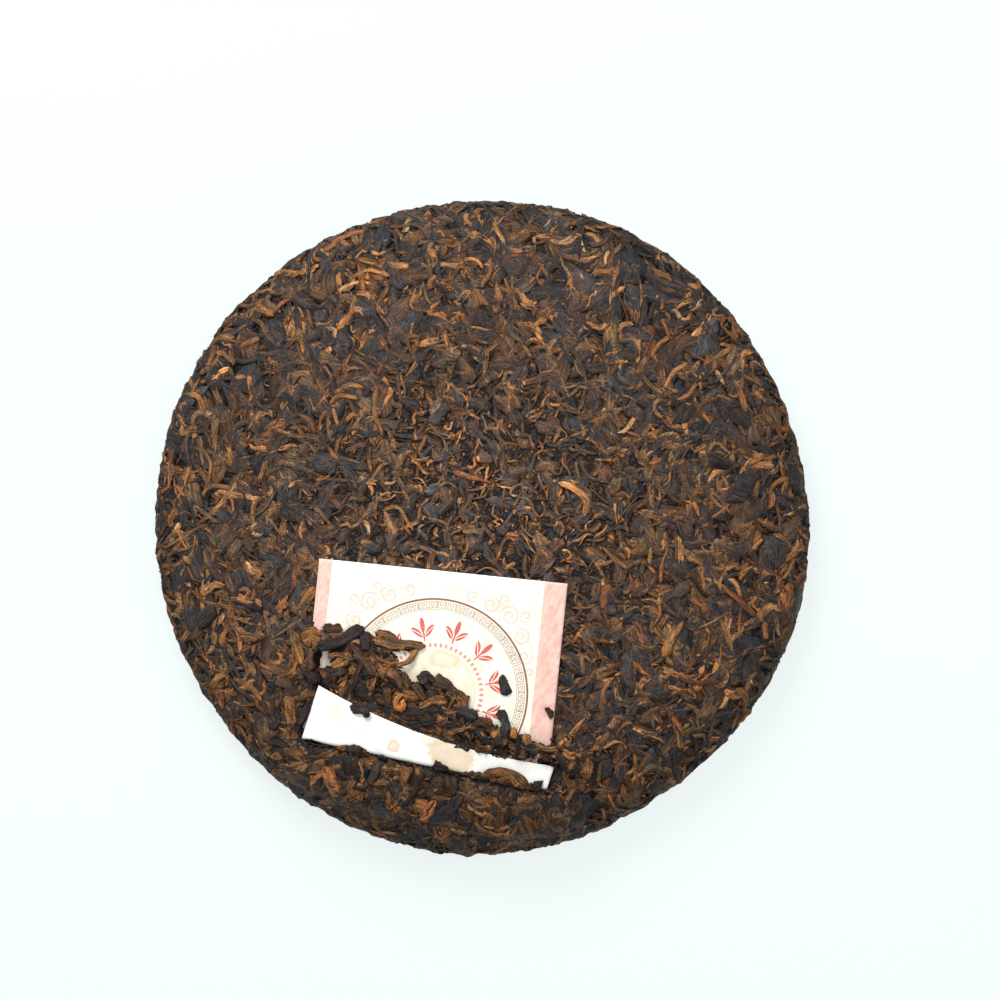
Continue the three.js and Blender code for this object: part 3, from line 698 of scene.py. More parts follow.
def tube_cell(rings, sides):
    """Where the corners of a tube's faces lie in its cell of the bake map, in the order of tube_faces."""
    k, j = np.repeat(np.arange(rings - 1), sides), np.arange(sides)
    u_quad = np.tile(j, rings - 1)
    u = np.concatenate([
        np.stack([u_quad, u_quad + 1, u_quad + 1, u_quad], axis=-1).ravel(),
        np.stack([j + 1, j, j + 0.5], axis=-1).ravel(),
        np.stack([j, j + 1, j + 0.5], axis=-1).ravel(),
    ]) / sides
    v = np.concatenate([
        (0.1 + 0.8 * np.stack([k, k, k + 1, k + 1], axis=-1) / (rings - 1)).ravel(),
        np.tile((0.1, 0.1, 0.0), sides),
        np.tile((0.9, 0.9, 1.0), sides),
    ])
    return u, v


def leaf_mesh(name, batches):
    """One mesh of batches of leaves, each with its side of the cake, with grain, a tint of colour and
    painted shade, and bake map.
    """
    points, grains, tints, loops, totals, cells = [], [], [], [], [], []
    first = leaf_number = 0
    grid = math.ceil(math.sqrt(sum(len(batch.x) for batch, _ in batches)))
    for batch, side in batches:
        count, rings, sides = batch.x.shape
        x, y, height = (batch.with_tips(part) for part in ("x", "y", "height"))
        grain, colour = (batch.with_tips(part) for part in ("grain", "colour"))
        points.append(to_space(x, y, height, side).reshape(-1, 3))
        grains.append(grain.reshape(-1, 3))
        tints.append(leaf_tints(*flat_place(x, y, side), height, colour, side).reshape(-1, 4))
        corners, sizes = face_rows(*tube_faces(rings, sides))
        stride = rings * sides + 2
        loops.append((corners[None, :] + first + stride * np.arange(count)[:, None]).ravel())
        totals.append(np.tile(sizes, count))
        number = leaf_number + np.arange(count)[:, None]
        along_map = zip((number % grid, number // grid), tube_cell(rings, sides))
        shrink = 1.0 - 2 * CELL_MARGIN
        within = [(cell + CELL_MARGIN + shrink * part[None, :]) / grid for cell, part in along_map]
        cells.append(np.stack(within, axis=-1).reshape(-1, 2))
        first += stride * count
        leaf_number += count
    mesh = array_mesh(name, np.concatenate(points), np.concatenate(loops), np.concatenate(totals))
    add_attribute(mesh, "grain", "FLOAT_VECTOR", np.concatenate(grains))
    add_attribute(mesh, "tint", "FLOAT_COLOR", np.concatenate(tints))
    add_bake_map(mesh, np.concatenate(cells))
    return mesh


def crest(x, y):
    """How high leaves may stand over the even skin: pressed flat in the middle, looser at the edge."""
    return 0.25 + 0.4 * smooth(np.hypot(x, y), 62.0, 92.0)


def array_mesh(name, points, loops, totals):
    """A smooth mesh from points in millimetres, the faces' corners in one row, and the faces' sizes."""
    mesh = bpy.data.meshes.new(name)
    mesh.vertices.add(len(points))
    mesh.vertices.foreach_set("co", (np.asarray(points) * MM).astype(np.float32).ravel())
    mesh.loops.add(len(loops))
    mesh.loops.foreach_set("vertex_index", np.asarray(loops, dtype=np.int32))
    mesh.polygons.add(len(totals))
    starts = np.concatenate([[0], np.cumsum(totals)[:-1]])
    mesh.polygons.foreach_set("loop_start", starts.astype(np.int32))
    mesh.polygons.foreach_set("use_smooth", np.ones(len(totals), dtype=bool))
    mesh.update(calc_edges=True)
    return mesh


def add_attribute(mesh, name, kind, values):
    """A value for each point of a mesh, which its material reads."""
    attribute = mesh.attributes.new(name, kind, "POINT")
    field = "color" if kind == "FLOAT_COLOR" else "vector"
    attribute.data.foreach_set(field, np.asarray(values, dtype=np.float32).ravel())


def add_bake_map(mesh, places):
    """The map that an export bakes to, with a place for each corner of the faces."""
    bake_map = mesh.uv_layers.new(name="OFBake")
    bake_map.data.foreach_set("uv", places.astype(np.float32).ravel())


def add_piece(name, mesh, materials, replaced=()):
    """Puts a mesh in the scene as a piece of the cake."""
    piece = bpy.data.objects.new(name, mesh)
    bpy.context.scene.collection.objects.link(piece)
    for material in materials:
        mesh.materials.append(material)
    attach(piece, BODY)
    if replaced:
        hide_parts(*replaced)
    return piece


def add_leaves(name, batches, finish):
    """Puts batches of leaves in the scene as one piece."""
    return add_piece(name, leaf_mesh(name, batches), [finish])


def made_finish(name):
    """A leaf finish that an earlier step has made."""
    finish = bpy.data.materials.get(name)
    if finish is None:
        raise RuntimeError(f"{name} isn't made yet: lay the dark, brown and golden leaves first")
    return finish


def spread(draw, count, reach, jitter):
    """Centres spread evenly over a charted disc."""
    i = np.arange(count)
    radius = reach * np.sqrt((i + 0.5) / count)
    angle = i * math.pi * (3.0 - math.sqrt(5.0)) + draw.uniform(0.0, 2 * math.pi)
    centres = np.stack([radius * np.cos(angle), radius * np.sin(angle)], axis=-1)
    return centres + draw.normal(0.0, jitter, centres.shape)


# The core, the paper and the scrap.

CORE_STEP = 1.5
CORE_SECTORS = 280
CORE_SINK = 0.35  # how far it stays under the even skin
PAPER_THICKNESS = 0.14
PAPER_STEP = 0.8


def wave_noise(x, y, z, scale):
    """Smooth noise at many places, with waves of about a scale's length."""
    flat = zip(np.ravel(x) / scale, np.ravel(y) / scale, np.ravel(np.broadcast_to(z, np.shape(x))) / scale)
    return np.array([noise.noise(Vector(place)) for place in flat]).reshape(np.shape(x))


def core_mesh():
    """The pressed mass under the leaves that show."""
    along = np.linspace(0.0, WHOLE_LENGTH, int(WHOLE_LENGTH / CORE_STEP))[1:-1]
    angle = np.linspace(0.0, 2 * math.pi, CORE_SECTORS, endpoint=False)
    chart_x = along[:, None] * np.cos(angle)[None, :]
    chart_y = along[:, None] * np.sin(angle)[None, :]
    x, y = flat_place(chart_x, chart_y, "face")
    z = np.broadcast_to(np.interp(along, SECTION_LENGTH, SECTION_Z)[:, None], x.shape)
    bumps = 0.35 * wave_noise(x, y, z, 3.1) + 0.25 * wave_noise(x + 40, y, z, 1.5)
    height = bumps - CORE_SINK
    on_face = along[:, None] < SECTION_LENGTH[FACE_POINTS - 1]
    height = height + np.where(on_face, 0.8 * ridge_height(x, y), 0.0)
    under_paper = on_face & in_panel(x, y, 1.3)
    height = np.where(under_paper, np.minimum(height, panel_lift(x, y) - 0.6), height)
    rows = to_space(chart_x, chart_y, height, "face").reshape(-1, 3)
    ends = np.array(((0.0, 0.0, CENTRE_HEIGHT - 0.75), (0.0, 0.0, KNOT_DEPTH + 0.5)))
    # This tube runs from the face to the back, so its faces turn the other way round.
    quads, caps = tube_faces(len(along), CORE_SECTORS)
    loops, totals = face_rows(quads[:, [0, 3, 2, 1]], caps[:, [1, 0, 2]])
    mesh = array_mesh("tea_core", np.concatenate([rows, ends]), loops, totals)
    add_attribute(mesh, "grain", "FLOAT_VECTOR", np.concatenate([rows, ends]))
    return mesh


def sheet_surface(across, down):
    """Points in the middle of the paper's thickness."""
    x, y = off_ticket(across, down)
    away = from_fold(x, y)
    folded = away < 0.0
    lower = panel_lift(x, y)
    x = np.where(folded, x - 2 * away * FOLD_SIDE[0], x)
    y = np.where(folded, y - 2 * away * FOLD_SIDE[1], y)
    parted = np.minimum(1.0, np.abs(away) / FOLD_NOSE)
    opening = np.sqrt(1.0 - (1.0 - parted) ** 2)
    middle = 0.5 * (SHEET_SINK + FLAP_LIFT)
    lift = middle + (np.where(folded, FLAP_LIFT, lower) - middle) * opening
    relief = 0.13 * wave_noise(x, y, np.where(folded, 30.0, 0.0), 6.5)
    relief = relief + 0.09 * wave_noise(x, y, np.where(folded, 50.0, 20.0), 2.3)
    z = np.interp(np.hypot(x, y), SECTION_R[:FACE_POINTS], SECTION_Z[:FACE_POINTS])
    return np.stack([x, y, z + lift + relief * opening], axis=-1)


def ticket_mesh():
    """The folded paper: its first material is the printed front, its second the blank back."""
    columns = np.linspace(0.0, TICKET_WIDTH, int(TICKET_WIDTH / PAPER_STEP) + 1)
    flat_part = np.linspace(0.0, 1.0, 70)
    near_fold = FOLD_NOSE * np.array((-0.8, -0.5, -0.25, 0.0, 0.25, 0.5, 0.8, 1.0))
    flap_part = np.linspace(0.0, 1.0, 20)[1:]
    rows = []
    for across in columns:
        fold = fold_at(across)
        flap_start = fold + near_fold[-1]
        rows.append(np.concatenate([
            flat_part * (fold - FOLD_NOSE),
            fold + near_fold,
            flap_start + flap_part * (end_at(across) - flap_start),
        ]))
    down = np.array(rows).T
    across = np.broadcast_to(columns[None, :], down.shape)
    step = 0.05
    middle = sheet_surface(across, down)
    along = sheet_surface(across, down + step) - sheet_surface(across, down - step)
    aside = sheet_surface(across + step, down) - sheet_surface(across - step, down)
    normal = np.cross(along, aside)
    normal /= np.linalg.norm(normal, axis=-1, keepdims=True)
    front = (middle + 0.5 * PAPER_THICKNESS * normal).reshape(-1, 3)
    back = (middle - 0.5 * PAPER_THICKNESS * normal).reshape(-1, 3)
    row_count, column_count = down.shape
    at = np.arange(row_count * column_count).reshape(row_count, column_count)
    a, b, c, d = at[:-1, :-1], at[:-1, 1:], at[1:, 1:], at[1:, :-1]
    under = len(front)
    faces = [
        np.stack([a, d, c, b], axis=-1).reshape(-1, 4),
        under + np.stack([a, b, c, d], axis=-1).reshape(-1, 4),
    ]
    rim = (
        (at[0, :-1], at[0, 1:]), (at[-1, 1:], at[-1, :-1]),
        (at[1:, 0], at[:-1, 0]), (at[:-1, -1], at[1:, -1]),
    )
    for start, end in rim:
        faces.append(np.stack([start, end, under + end, under + start], axis=-1))
    quads = np.concatenate(faces)
    points = np.concatenate([front, back])
    mesh = array_mesh("paper_ticket_sheet", points, quads.ravel(), np.full(len(quads), 4))
    blank = np.ones(len(quads), dtype=np.int32)
    blank[:len(faces[0])] = 0
    mesh.polygons.foreach_set("material_index", blank)
    flat = np.stack([across, down, np.zeros(down.shape)], axis=-1).reshape(-1, 3)
    add_attribute(mesh, "sheet", "FLOAT_VECTOR", np.concatenate([flat, flat]))
    u, v = flat[:, 0] / TICKET_WIDTH, flat[:, 1] / (TICKET_LENGTH + EDGE_BOW)
    front_half = np.stack([0.01 + 0.48 * u, 0.01 + 0.98 * v], axis=-1)
    cells = np.concatenate([front_half, front_half + np.array((0.5, 0.0))])
    add_bake_map(mesh, cells[quads.ravel()])
    return mesh


# Materials. Arithmetic on a Field adds math nodes to its tree.


class Field:
    """A value in a node tree."""

    def __init__(self, tree, socket):
        self.tree, self.socket = tree, socket

    def math(self, operation, *others):
        node = self.tree.nodes.new("ShaderNodeMath")
        node.operation = operation
        for socket, value in zip(node.inputs, (self, *others)):
            feed(self.tree, value, socket)
        return Field(self.tree, node.outputs[0])

    def __add__(self, other):
        return self.math("ADD", other)

    def __sub__(self, other):
        return self.math("SUBTRACT", other)

    def __mul__(self, other):
        return self.math("MULTIPLY", other)

    def __truediv__(self, other):
        return self.math("DIVIDE", other)

    def __neg__(self):
        return self.math("MULTIPLY", -1.0)

    def absolute(self):
        return self.math("ABSOLUTE")

    def fraction(self):
        return self.math("FRACT")

    def under(self, limit):
        """1 where the value is less than a limit."""
        return self.math("LESS_THAN", limit)

    def over(self, limit):
        """1 where the value is greater than a limit."""
        return self.math("GREATER_THAN", limit)

    def largest(self, other):
        return self.math("MAXIMUM", other)

    def ramp(self, low, high, to_low=0.0, to_high=1.0):
        """A smooth rise, or fall, from one value to another between two limits."""
        node = self.tree.nodes.new("ShaderNodeMapRange")
        node.interpolation_type = "SMOOTHSTEP"
        for socket, value in zip(node.inputs, (self, low, high, to_low, to_high)):
            feed(self.tree, value, socket)
        return Field(self.tree, node.outputs[0])


def feed(tree, value, socket):
    """Links a field to a socket, or sets a plain value on it."""
    if isinstance(value, Field):
        tree.links.new(value.socket, socket)
    else:
        socket.default_value = value


def effect_group(name, inputs, outputs):
    """A new shader node group with float inputs, given with their defaults, and float outputs."""
    tree = bpy.data.node_groups.new(name, "ShaderNodeTree")
    for label, default in inputs.items():
        socket = tree.interface.new_socket(label, in_out="INPUT", socket_type="NodeSocketFloat")
        socket.default_value = default
    for label in outputs:
        tree.interface.new_socket(label, in_out="OUTPUT", socket_type="NodeSocketFloat")
    source, sink = tree.nodes.new("NodeGroupInput"), tree.nodes.new("NodeGroupOutput")
    return tree, {label: Field(tree, source.outputs[label]) for label in inputs}, sink


def shared_group(name, build):
    """A node group that is built once."""
    return bpy.data.node_groups.get(name) or build()


def place_group(tree, group, **values):
    """A group in a material, with its own values, as a dictionary of fields."""
    node = tree.nodes.new("ShaderNodeGroup")
    node.node_tree = group
    for label, value in values.items():
        feed(tree, value, node.inputs[label.replace("_", " ").capitalize()])
    return {output.name: Field(tree, output) for output in node.outputs}


def surface_attribute(tree, name):
    """The outputs of a value that the mesh has at each point."""
    node = tree.nodes.new("ShaderNodeAttribute")
    node.attribute_type = "GEOMETRY"
    node.attribute_name = name
    return node.outputs


def parts_of(tree, socket, colour=False):
    """The three parts of a vector or a colour, as fields."""
    node = tree.nodes.new("ShaderNodeSeparateColor" if colour else "ShaderNodeSeparateXYZ")
    tree.links.new(socket, node.inputs[0])
    return [Field(tree, output) for output in node.outputs[:3]]


def place_over(tree, size):
    """The place on the cake, in millimetres over a size, as three fields."""
    place = tree.nodes.new("ShaderNodeTexCoord").outputs["Object"]
    return [part / MM / size for part in parts_of(tree, place)]


def together(tree, x, y, z):
    """A vector from three fields or numbers."""
    node = tree.nodes.new("ShaderNodeCombineXYZ")
    for value, socket in zip((x, y, z), node.inputs):
        feed(tree, value, socket)
    return node.outputs[0]


def noise_at(tree, vector, scale, detail=2.0, roughness=0.5):
    """Soft noise from 0 to 1 at a vector."""
    node = tree.nodes.new("ShaderNodeTexNoise")
    tree.links.new(vector, node.inputs["Vector"])
    feed(tree, scale, node.inputs["Scale"])
    node.inputs["Detail"].default_value = detail
    node.inputs["Roughness"].default_value = roughness
    return Field(tree, node.outputs["Fac"])


def fibre_group():
    """Lengthwise fibres and pores of a leaf, in its own grain."""
    tree, given, sink = effect_group("Leaf fibre", {"Fineness": 3.0, "Stretch": 0.12}, ("Fibre", "Height"))
    across, up, along = parts_of(tree, surface_attribute(tree, "grain")["Vector"])
    drawn_out = together(tree, across, up, along * given["Stretch"])
    fibre = noise_at(tree, drawn_out, given["Fineness"], 3.0, 0.6)
    veins = noise_at(tree, drawn_out, given["Fineness"] * 0.45, 1.0)
    pores = noise_at(tree, together(tree, across, up, along * 0.5), given["Fineness"] * 1.7, 2.0)
    feed(tree, (fibre * 0.7 + veins * 0.3).ramp(0.3, 0.7), sink.inputs["Fibre"])
    feed(tree, fibre * 0.6 + veins * 0.25 + pores * 0.15, sink.inputs["Height"])
    return tree


def dust_group():
    """Scattered specks of pale leaf down and dust."""
    tree, given, sink = effect_group("Tea dust", {"Amount": 0.3, "Size": 0.9}, ("Mask",))
    spot = surface_attribute(tree, "grain")["Vector"]
    specks = noise_at(tree, spot, given["Size"], 4.0, 0.75)
    feed(tree, specks.ramp(0.66, 0.8) * given["Amount"], sink.inputs["Mask"])
    return tree


def grain_group():
    """The fine grain and soft cloudiness of thin paper."""
    tree, given, sink = effect_group("Paper grain", {"Cloud size": 0.12}, ("Cloud", "Height"))
    spot = surface_attribute(tree, "sheet")["Vector"]
    cloud = noise_at(tree, spot, given["Cloud size"], 3.0, 0.6)
    fine = noise_at(tree, spot, 3.2, 3.0, 0.7)
    feed(tree, cloud, sink.inputs["Cloud"])
    feed(tree, fine * 0.5 + cloud * 0.5, sink.inputs["Height"])
    return tree


def stain_group():
    """One tea stain on the paper, a ragged spot with a darker edge."""
    inputs = {"Across": 0.0, "Down": 0.0, "Radius": 3.0, "Long": 1.0, "Edge": 0.5}
    tree, given, sink = effect_group("Tea stain", inputs, ("Stain",))
    spot = surface_attribute(tree, "sheet")["Vector"]
    across, down, _ = parts_of(tree, spot)
    across = (across - given["Across"]) / given["Long"]
    down = down - given["Down"]
    away = (across * across + down * down).math("SQRT") / given["Radius"]
    away = away + (noise_at(tree, spot, 0.5, 4.0, 0.6) - 0.5) * 0.9
    inside = away.ramp(0.75, 1.05, 1.0, 0.0)
    rim = inside * away.ramp(0.5, 0.9)
    feed(tree, inside * (rim * given["Edge"] + 0.55), sink.inputs["Stain"])
    return tree


RING_ACROSS, RING_DOWN = 38.7, 37.2  # the ring's middle on the sheet
MARK_RADIUS = 19.0

# The scrolls' curls, alike on both sides: away from the sheet's middle line, down from its top, and radius.
CURLS = (
    (21.5, 11.6, 3.4), (15.4, 8.6, 2.9), (25.4, 17.6, 3.1), (9.8, 6.6, 2.3), (27.2, 23.6, 2.5),
    (19.8, 6.8, 2.1), (26.6, 11.2, 2.2), (29.3, 28.4, 1.8),
)


def print_group():
    """The ticket's print: side bands, a key-fret ring, corner scrolls, and plain leaf marks."""
    inputs = {"Ring radius": 28.6, "Fret pairs": 29.0, "Leaf marks": 12.0}
    outputs = ("Band", "Line", "Fret", "Scroll", "Mark", "Warmth")
    tree, given, sink = effect_group("Ticket print", inputs, outputs)
    spot = surface_attribute(tree, "sheet")["Vector"]
    across, down, _ = parts_of(tree, spot)
    worn = noise_at(tree, spot, 1.4, 4.0, 0.7)

    creases = noise_at(tree, together(tree, across + down * 0.4, down * 0.35, 0.0), 0.7, 3.0, 0.6)
    mottle = (noise_at(tree, spot, 0.35, 4.0, 0.65) * 0.5 + creases * 0.5).ramp(0.35, 0.65, 0.55, 1.0)
    left, right = across.under(4.1), across.over(TICKET_WIDTH - 6.9)
    hairline = (across - 5.4).absolute().under(0.18) + (across - 67.4).absolute().under(0.18)
    feed(tree, (left + right + hairline * 0.3) * mottle, sink.inputs["Band"])

    x, y = across - RING_ACROSS, -(down - RING_DOWN)
    radius = (x * x + y * y).math("SQRT")
    turn = y.math("ARCTAN2", x) / (2 * math.pi) + 1.0
    ring = (radius - given["Ring radius"]).absolute().ramp(0.2, 0.4, 1.0, 0.0)
    thin = (radius - (given["Ring radius"] - 3.2)).absolute().ramp(0.08, 0.2, 0.55, 0.0)
    feed(tree, ring.largest(thin) * worn.ramp(0.25, 0.45, 0.55, 1.0), sink.inputs["Line"])

    pair = (turn * given["Fret pairs"]).fraction()
    cell_x = ((pair - 0.5).absolute() - 0.235) * 4.1
    cell_y = (radius - (given["Ring radius"] - 1.75)) / 1.12
    away = cell_x.absolute().largest(cell_y.absolute())
    square = (away - 0.84).absolute().under(0.15)
    key = (away - 0.36).absolute().under(0.15) * cell_y.over(-0.3)
    stem = cell_x.absolute().under(0.13) * cell_y.under(0.0) * cell_y.over(-0.75)
    feed(tree, square.largest(key).largest(stem) * worn.ramp(0.3, 0.6, 0.45, 0.95), sink.inputs["Fret"])

    from_middle = (across - 0.5 * TICKET_WIDTH).absolute()
    scroll = None
    for curl_x, curl_y, size in CURLS:
        dx, dy = from_middle - curl_x, down - curl_y
        away = (dx * dx + dy * dy).math("SQRT")
        winding = (away * 0.62 + dy.math("ARCTAN2", dx) / (2 * math.pi) + 1.0).fraction()
        curl = (winding - 0.5).absolute().ramp(0.16, 0.3, 1.0, 0.0) * away.ramp(size * 0.9, size, 1.0, 0.0)
        scroll = curl if scroll is None else scroll.largest(curl)
    sweep = (radius - 33.0).absolute().ramp(0.15, 0.4, 0.8, 0.0) * down.ramp(20.0, 26.0, 1.0, 0.0)
    corners = from_middle.ramp(6.0, 9.0)
    feed(tree, scroll.largest(sweep * corners) * worn.ramp(0.3, 0.6, 0.5, 1.0), sink.inputs["Scroll"])

    step = (turn * given["Leaf marks"]).fraction() - 0.5
    beside = step * (2 * math.pi * MARK_RADIUS) / given["Leaf marks"]
    leaf_along = (beside.absolute() - 1.85) / 1.75
    leaf_wide = (-(leaf_along * leaf_along) + 1.0) * 1.25
    tilted = radius - 19.2 - beside.absolute() * 0.95 + 1.9
    leaves = tilted.absolute().under(leaf_wide)
    vein = tilted.absolute().under(0.16)
    bud_out = (radius - 20.9) / 2.3
    bud_aside = beside / 0.65
    bud = (bud_out * bud_out + bud_aside * bud_aside).under(1.0)
    stalk = beside.absolute().under(0.26) * (radius - 17.4).absolute().under(1.5)
    dots_at = ((turn * 56.0).fraction() - 0.5) * 1.64
    dots_out = radius - 14.6
    dots = (dots_at * dots_at + dots_out * dots_out * 0.4).under(0.19)
    mark = (leaves - vein).largest(stalk.largest(bud)).largest(dots * 0.75)
    feed(tree, mark * worn.ramp(0.3, 0.5, 0.7, 1.0), sink.inputs["Mark"])

    disc = radius.ramp(11.6, 12.4, 1.0, 0.0) * 0.4
    edge = (radius - 12.6).absolute().ramp(0.15, 0.45, 0.65, 0.0)
    cloud = noise_at(tree, spot, 0.16, 3.0, 0.6).ramp(0.42, 0.72)
    feed(tree, (disc * (cloud + 0.5)).largest(edge) + cloud * 0.26, sink.inputs["Warmth"])
    return tree


def new_material(name):
    """A material with its tree and its shader."""
    material = bpy.data.materials.new(name)
    material.use_nodes = True
    tree = material.node_tree
    return material, tree, tree.nodes["Principled BSDF"]


def mix_colour(tree, factor, first, second):
    """A second colour laid over a first one, each a socket or a plain colour."""
    node = tree.nodes.new("ShaderNodeMix")
    node.data_type = "RGBA"
    feed(tree, factor, node.inputs["Factor"])
    for value, socket in ((first, node.inputs["A"]), (second, node.inputs["B"])):
        if isinstance(value, bpy.types.NodeSocket):
            tree.links.new(value, socket)
        else:
            socket.default_value = (*value[:3], 1.0)
    return node.outputs["Result"]


def colour_ramp(tree, factor, stops):
    """The colour that a factor picks between stops of place and colour."""
    node = tree.nodes.new("ShaderNodeValToRGB")
    feed(tree, factor, node.inputs["Fac"])
    elements = node.color_ramp.elements
    while len(elements) < len(stops):
        elements.new(0.5)
    for element, (place, colour) in zip(elements, stops):
        element.position = place
        element.color = (*colour[:3], 1.0)
    return node.outputs["Color"]


def dress(tree, shader, colour, rough, shine, height, depth):
    """Gives a shader its colour, roughness and relief of a depth in metres, and one even shine."""
    tree.links.new(colour, shader.inputs["Base Color"])
    feed(tree, rough, shader.inputs["Roughness"])
    shader.inputs["Specular IOR Level"].default_value = shine
    relief = tree.nodes.new("ShaderNodeBump")
    relief.inputs["Distance"].default_value = depth
    feed(tree, height, relief.inputs["Height"])
    tree.links.new(relief.outputs["Normal"], shader.inputs["Normal"])


def scaled(tree, colour, factor, light):
    """A colour times a value, with each channel's own share of it."""
    node = tree.nodes.new("ShaderNodeVectorMath")
    node.operation = "MULTIPLY"
    tree.links.new(colour, node.inputs[0])
    parts = [(factor - 1.0) * share + 1.0 for share in light]
    tree.links.new(together(tree, *parts), node.inputs[1])
    return node.outputs[0]


def tone_group():
    """Patches of lighter, darker, warmer and colder tea, and grit, that run over all the leaves alike."""
    inputs = {"Patch size": 6.5, "Grit size": 0.42}
    tree, given, sink = effect_group("Tea tone", inputs, ("Light", "Warmth"))
    x, y, z = place_over(tree, given["Patch size"])
    patch = noise_at(tree, together(tree, x, y, z), 1.0, 3.0, 0.6).ramp(0.3, 0.7, 0.72, 1.28)
    warmth = noise_at(tree, together(tree, y + 9.0, z, x), 1.3, 2.0).ramp(0.3, 0.7, 0.8, 1.2)
    fine_place = together(tree, *place_over(tree, given["Grit size"]))
    grit = noise_at(tree, fine_place, 1.0, 2.0, 0.7).ramp(0.3, 0.7, 0.62, 1.42)
    feed(tree, patch * grit, sink.inputs["Light"])
    feed(tree, warmth, sink.inputs["Warmth"])
    return tree


def film_group():
    """Where fine brown tea is pressed over the leaves, in torn patches."""
    tree, given, sink = effect_group("Tea film", {"Patch size": 2.6, "Amount": 1.0}, ("Mask",))
    x, y, z = place_over(tree, given["Patch size"])
    patches = noise_at(tree, together(tree, x, z, y), 1.0, 5.0, 0.7)
    feed(tree, patches.ramp(0.4, 0.66) * given["Amount"], sink.inputs["Mask"])
    return tree


LEAF_SHINE = 0.2
FILM_COLOUR = (0.078, 0.05, 0.036)
DOWN_COLOUR = (0.36, 0.25, 0.15)


def leaf_material(name, contrast, rough, filmed):
    """Leaf in its tint, which holds its colour and painted shade, with lighter and darker fibres along it
    and a few specks of dust.
    """
    material, tree, shader = new_material(name)
    # the tint: the leaf's colour with painted shade, and in its alpha the film's share
    tint = surface_attribute(tree, "tint")
    film = place_group(tree, shared_group("Tea film", film_group))
    fibre = place_group(tree, shared_group("Leaf fibre", fibre_group), fineness=2.6, stretch=0.13)
    tone = place_group(tree, shared_group("Tea tone", tone_group))
    dust = place_group(tree, shared_group("Tea dust", dust_group), amount=0.6, size=1.5)
    light = fibre["Fibre"].ramp(0.0, 1.0, 1.0 - 0.7 * contrast, 1.0 + contrast) * tone["Light"]
    covered = film["Mask"] * Field(tree, tint["Alpha"]) * filmed
    colour = mix_colour(tree, covered, tint["Color"], FILM_COLOUR)
    colour = scaled(tree, colour, light, (1.0, 0.97, 0.88))
    colour = scaled(tree, colour, tone["Warmth"], (0.7, 0.0, -0.7))
    colour = mix_colour(tree, dust["Mask"], colour, DOWN_COLOUR)
    roughness = fibre["Fibre"].ramp(0.0, 1.0, rough + 0.1, rough - 0.1)
    dress(tree, shader, colour, roughness, LEAF_SHINE, fibre["Height"] + tone["Light"] * 0.25, 0.0005)
    return material


def mosaic_group():
    """Flat bits of leaf pressed into one another, each with its own direction and tone, and painted shade
    along its outline.
    """
    inputs = {"Bit size": 4.0, "Waver": 1.3}
    tree, given, sink = effect_group("Pressed bits", inputs, ("Tone", "Streak", "Edge", "Height"))
    spot = surface_attribute(tree, "grain")["Vector"]
    x, y, z = parts_of(tree, spot)
    pushes = [noise_at(tree, place, 0.45, 3.0, 0.6) for place in (spot, together(tree, y + 31.0, z, x))]
    push_x, push_y = ((push - 0.5) * given["Waver"] * 3.0 for push in pushes)
    size = given["Bit size"]
    pushed = together(tree, (x + push_x) / size, (y + push_y) / size, z / size)
    cells, borders = (tree.nodes.new("ShaderNodeTexVoronoi") for _ in range(2))
    borders.feature = "DISTANCE_TO_EDGE"
    for node in (cells, borders):
        tree.links.new(pushed, node.inputs["Vector"])
        node.inputs["Scale"].default_value = 1.0
    turn, tone, _ = parts_of(tree, cells.outputs["Color"], colour=True)
    # painted shade in the groove along each bit's outline
    edge = Field(tree, borders.outputs["Distance"]).ramp(0.0, 0.1, 1.0, 0.0)
    cos, sin = (turn * 2 * math.pi).math("COSINE"), (turn * 2 * math.pi).math("SINE")
    along = (x + push_x * 0.4) * cos + (y + push_y * 0.4) * sin
    aside = (y + push_y * 0.4) * cos - (x + push_x * 0.4) * sin
    streak = noise_at(tree, together(tree, along * 0.2, aside, z + tone * 40.0), 1.5, 3.0, 0.65)
    feed(tree, tone, sink.inputs["Tone"])
    feed(tree, streak.ramp(0.28, 0.72), sink.inputs["Streak"])
    feed(tree, edge, sink.inputs["Edge"])
    feed(tree, streak * 0.4 - edge * 0.5, sink.inputs["Height"])
    return tree


CORE_TONES = (
    (0.12, "slate"), (0.35, "charcoal"), (0.52, "brown"), (0.62, "charcoal"), (0.74, "olive"),
    (0.93, "golden"),
)


def core_material(colours):
    """The mass between the larger leaves, of flat bits pressed together."""
    material, tree, shader = new_material("tea_core_finish")
    bits = place_group(tree, shared_group("Pressed bits", mosaic_group), bit_size=3.4, waver=1.3)
    fine = place_group(tree, shared_group("Pressed bits", mosaic_group), bit_size=1.5, waver=0.7)
    spot = surface_attribute(tree, "grain")["Vector"]
    dust = place_group(tree, shared_group("Tea dust", dust_group), amount=0.4, size=1.6)
    stops = [(place, tuple(getattr(colours, name))) for place, name in CORE_TONES]
    colour = colour_ramp(tree, bits["Tone"] * 0.75 + fine["Tone"] * 0.25, stops)
    tone = place_group(tree, shared_group("Tea tone", tone_group))
    light = (bits["Streak"] * 0.6 + fine["Streak"] * 0.4).ramp(0.1, 0.9, 0.35, 1.35) * tone["Light"]
    colour = scaled(tree, colour, light, (1.0, 0.97, 0.9))
    # painted shade: near-black in the grooves between the pressed bits
    dark = bits["Edge"].largest(fine["Edge"] * 0.6) * 0.7
    colour = mix_colour(tree, dark, colour, (0.006, 0.005, 0.005))
    colour = mix_colour(tree, dust["Mask"], colour, (0.3, 0.2, 0.11))
    roughness = noise_at(tree, spot, 0.4, 3.0).ramp(0.3, 0.7, 0.55, 0.75)
    dress(tree, shader, colour, roughness, LEAF_SHINE, bits["Height"] + fine["Height"] * 0.6, 0.0008)
    return material


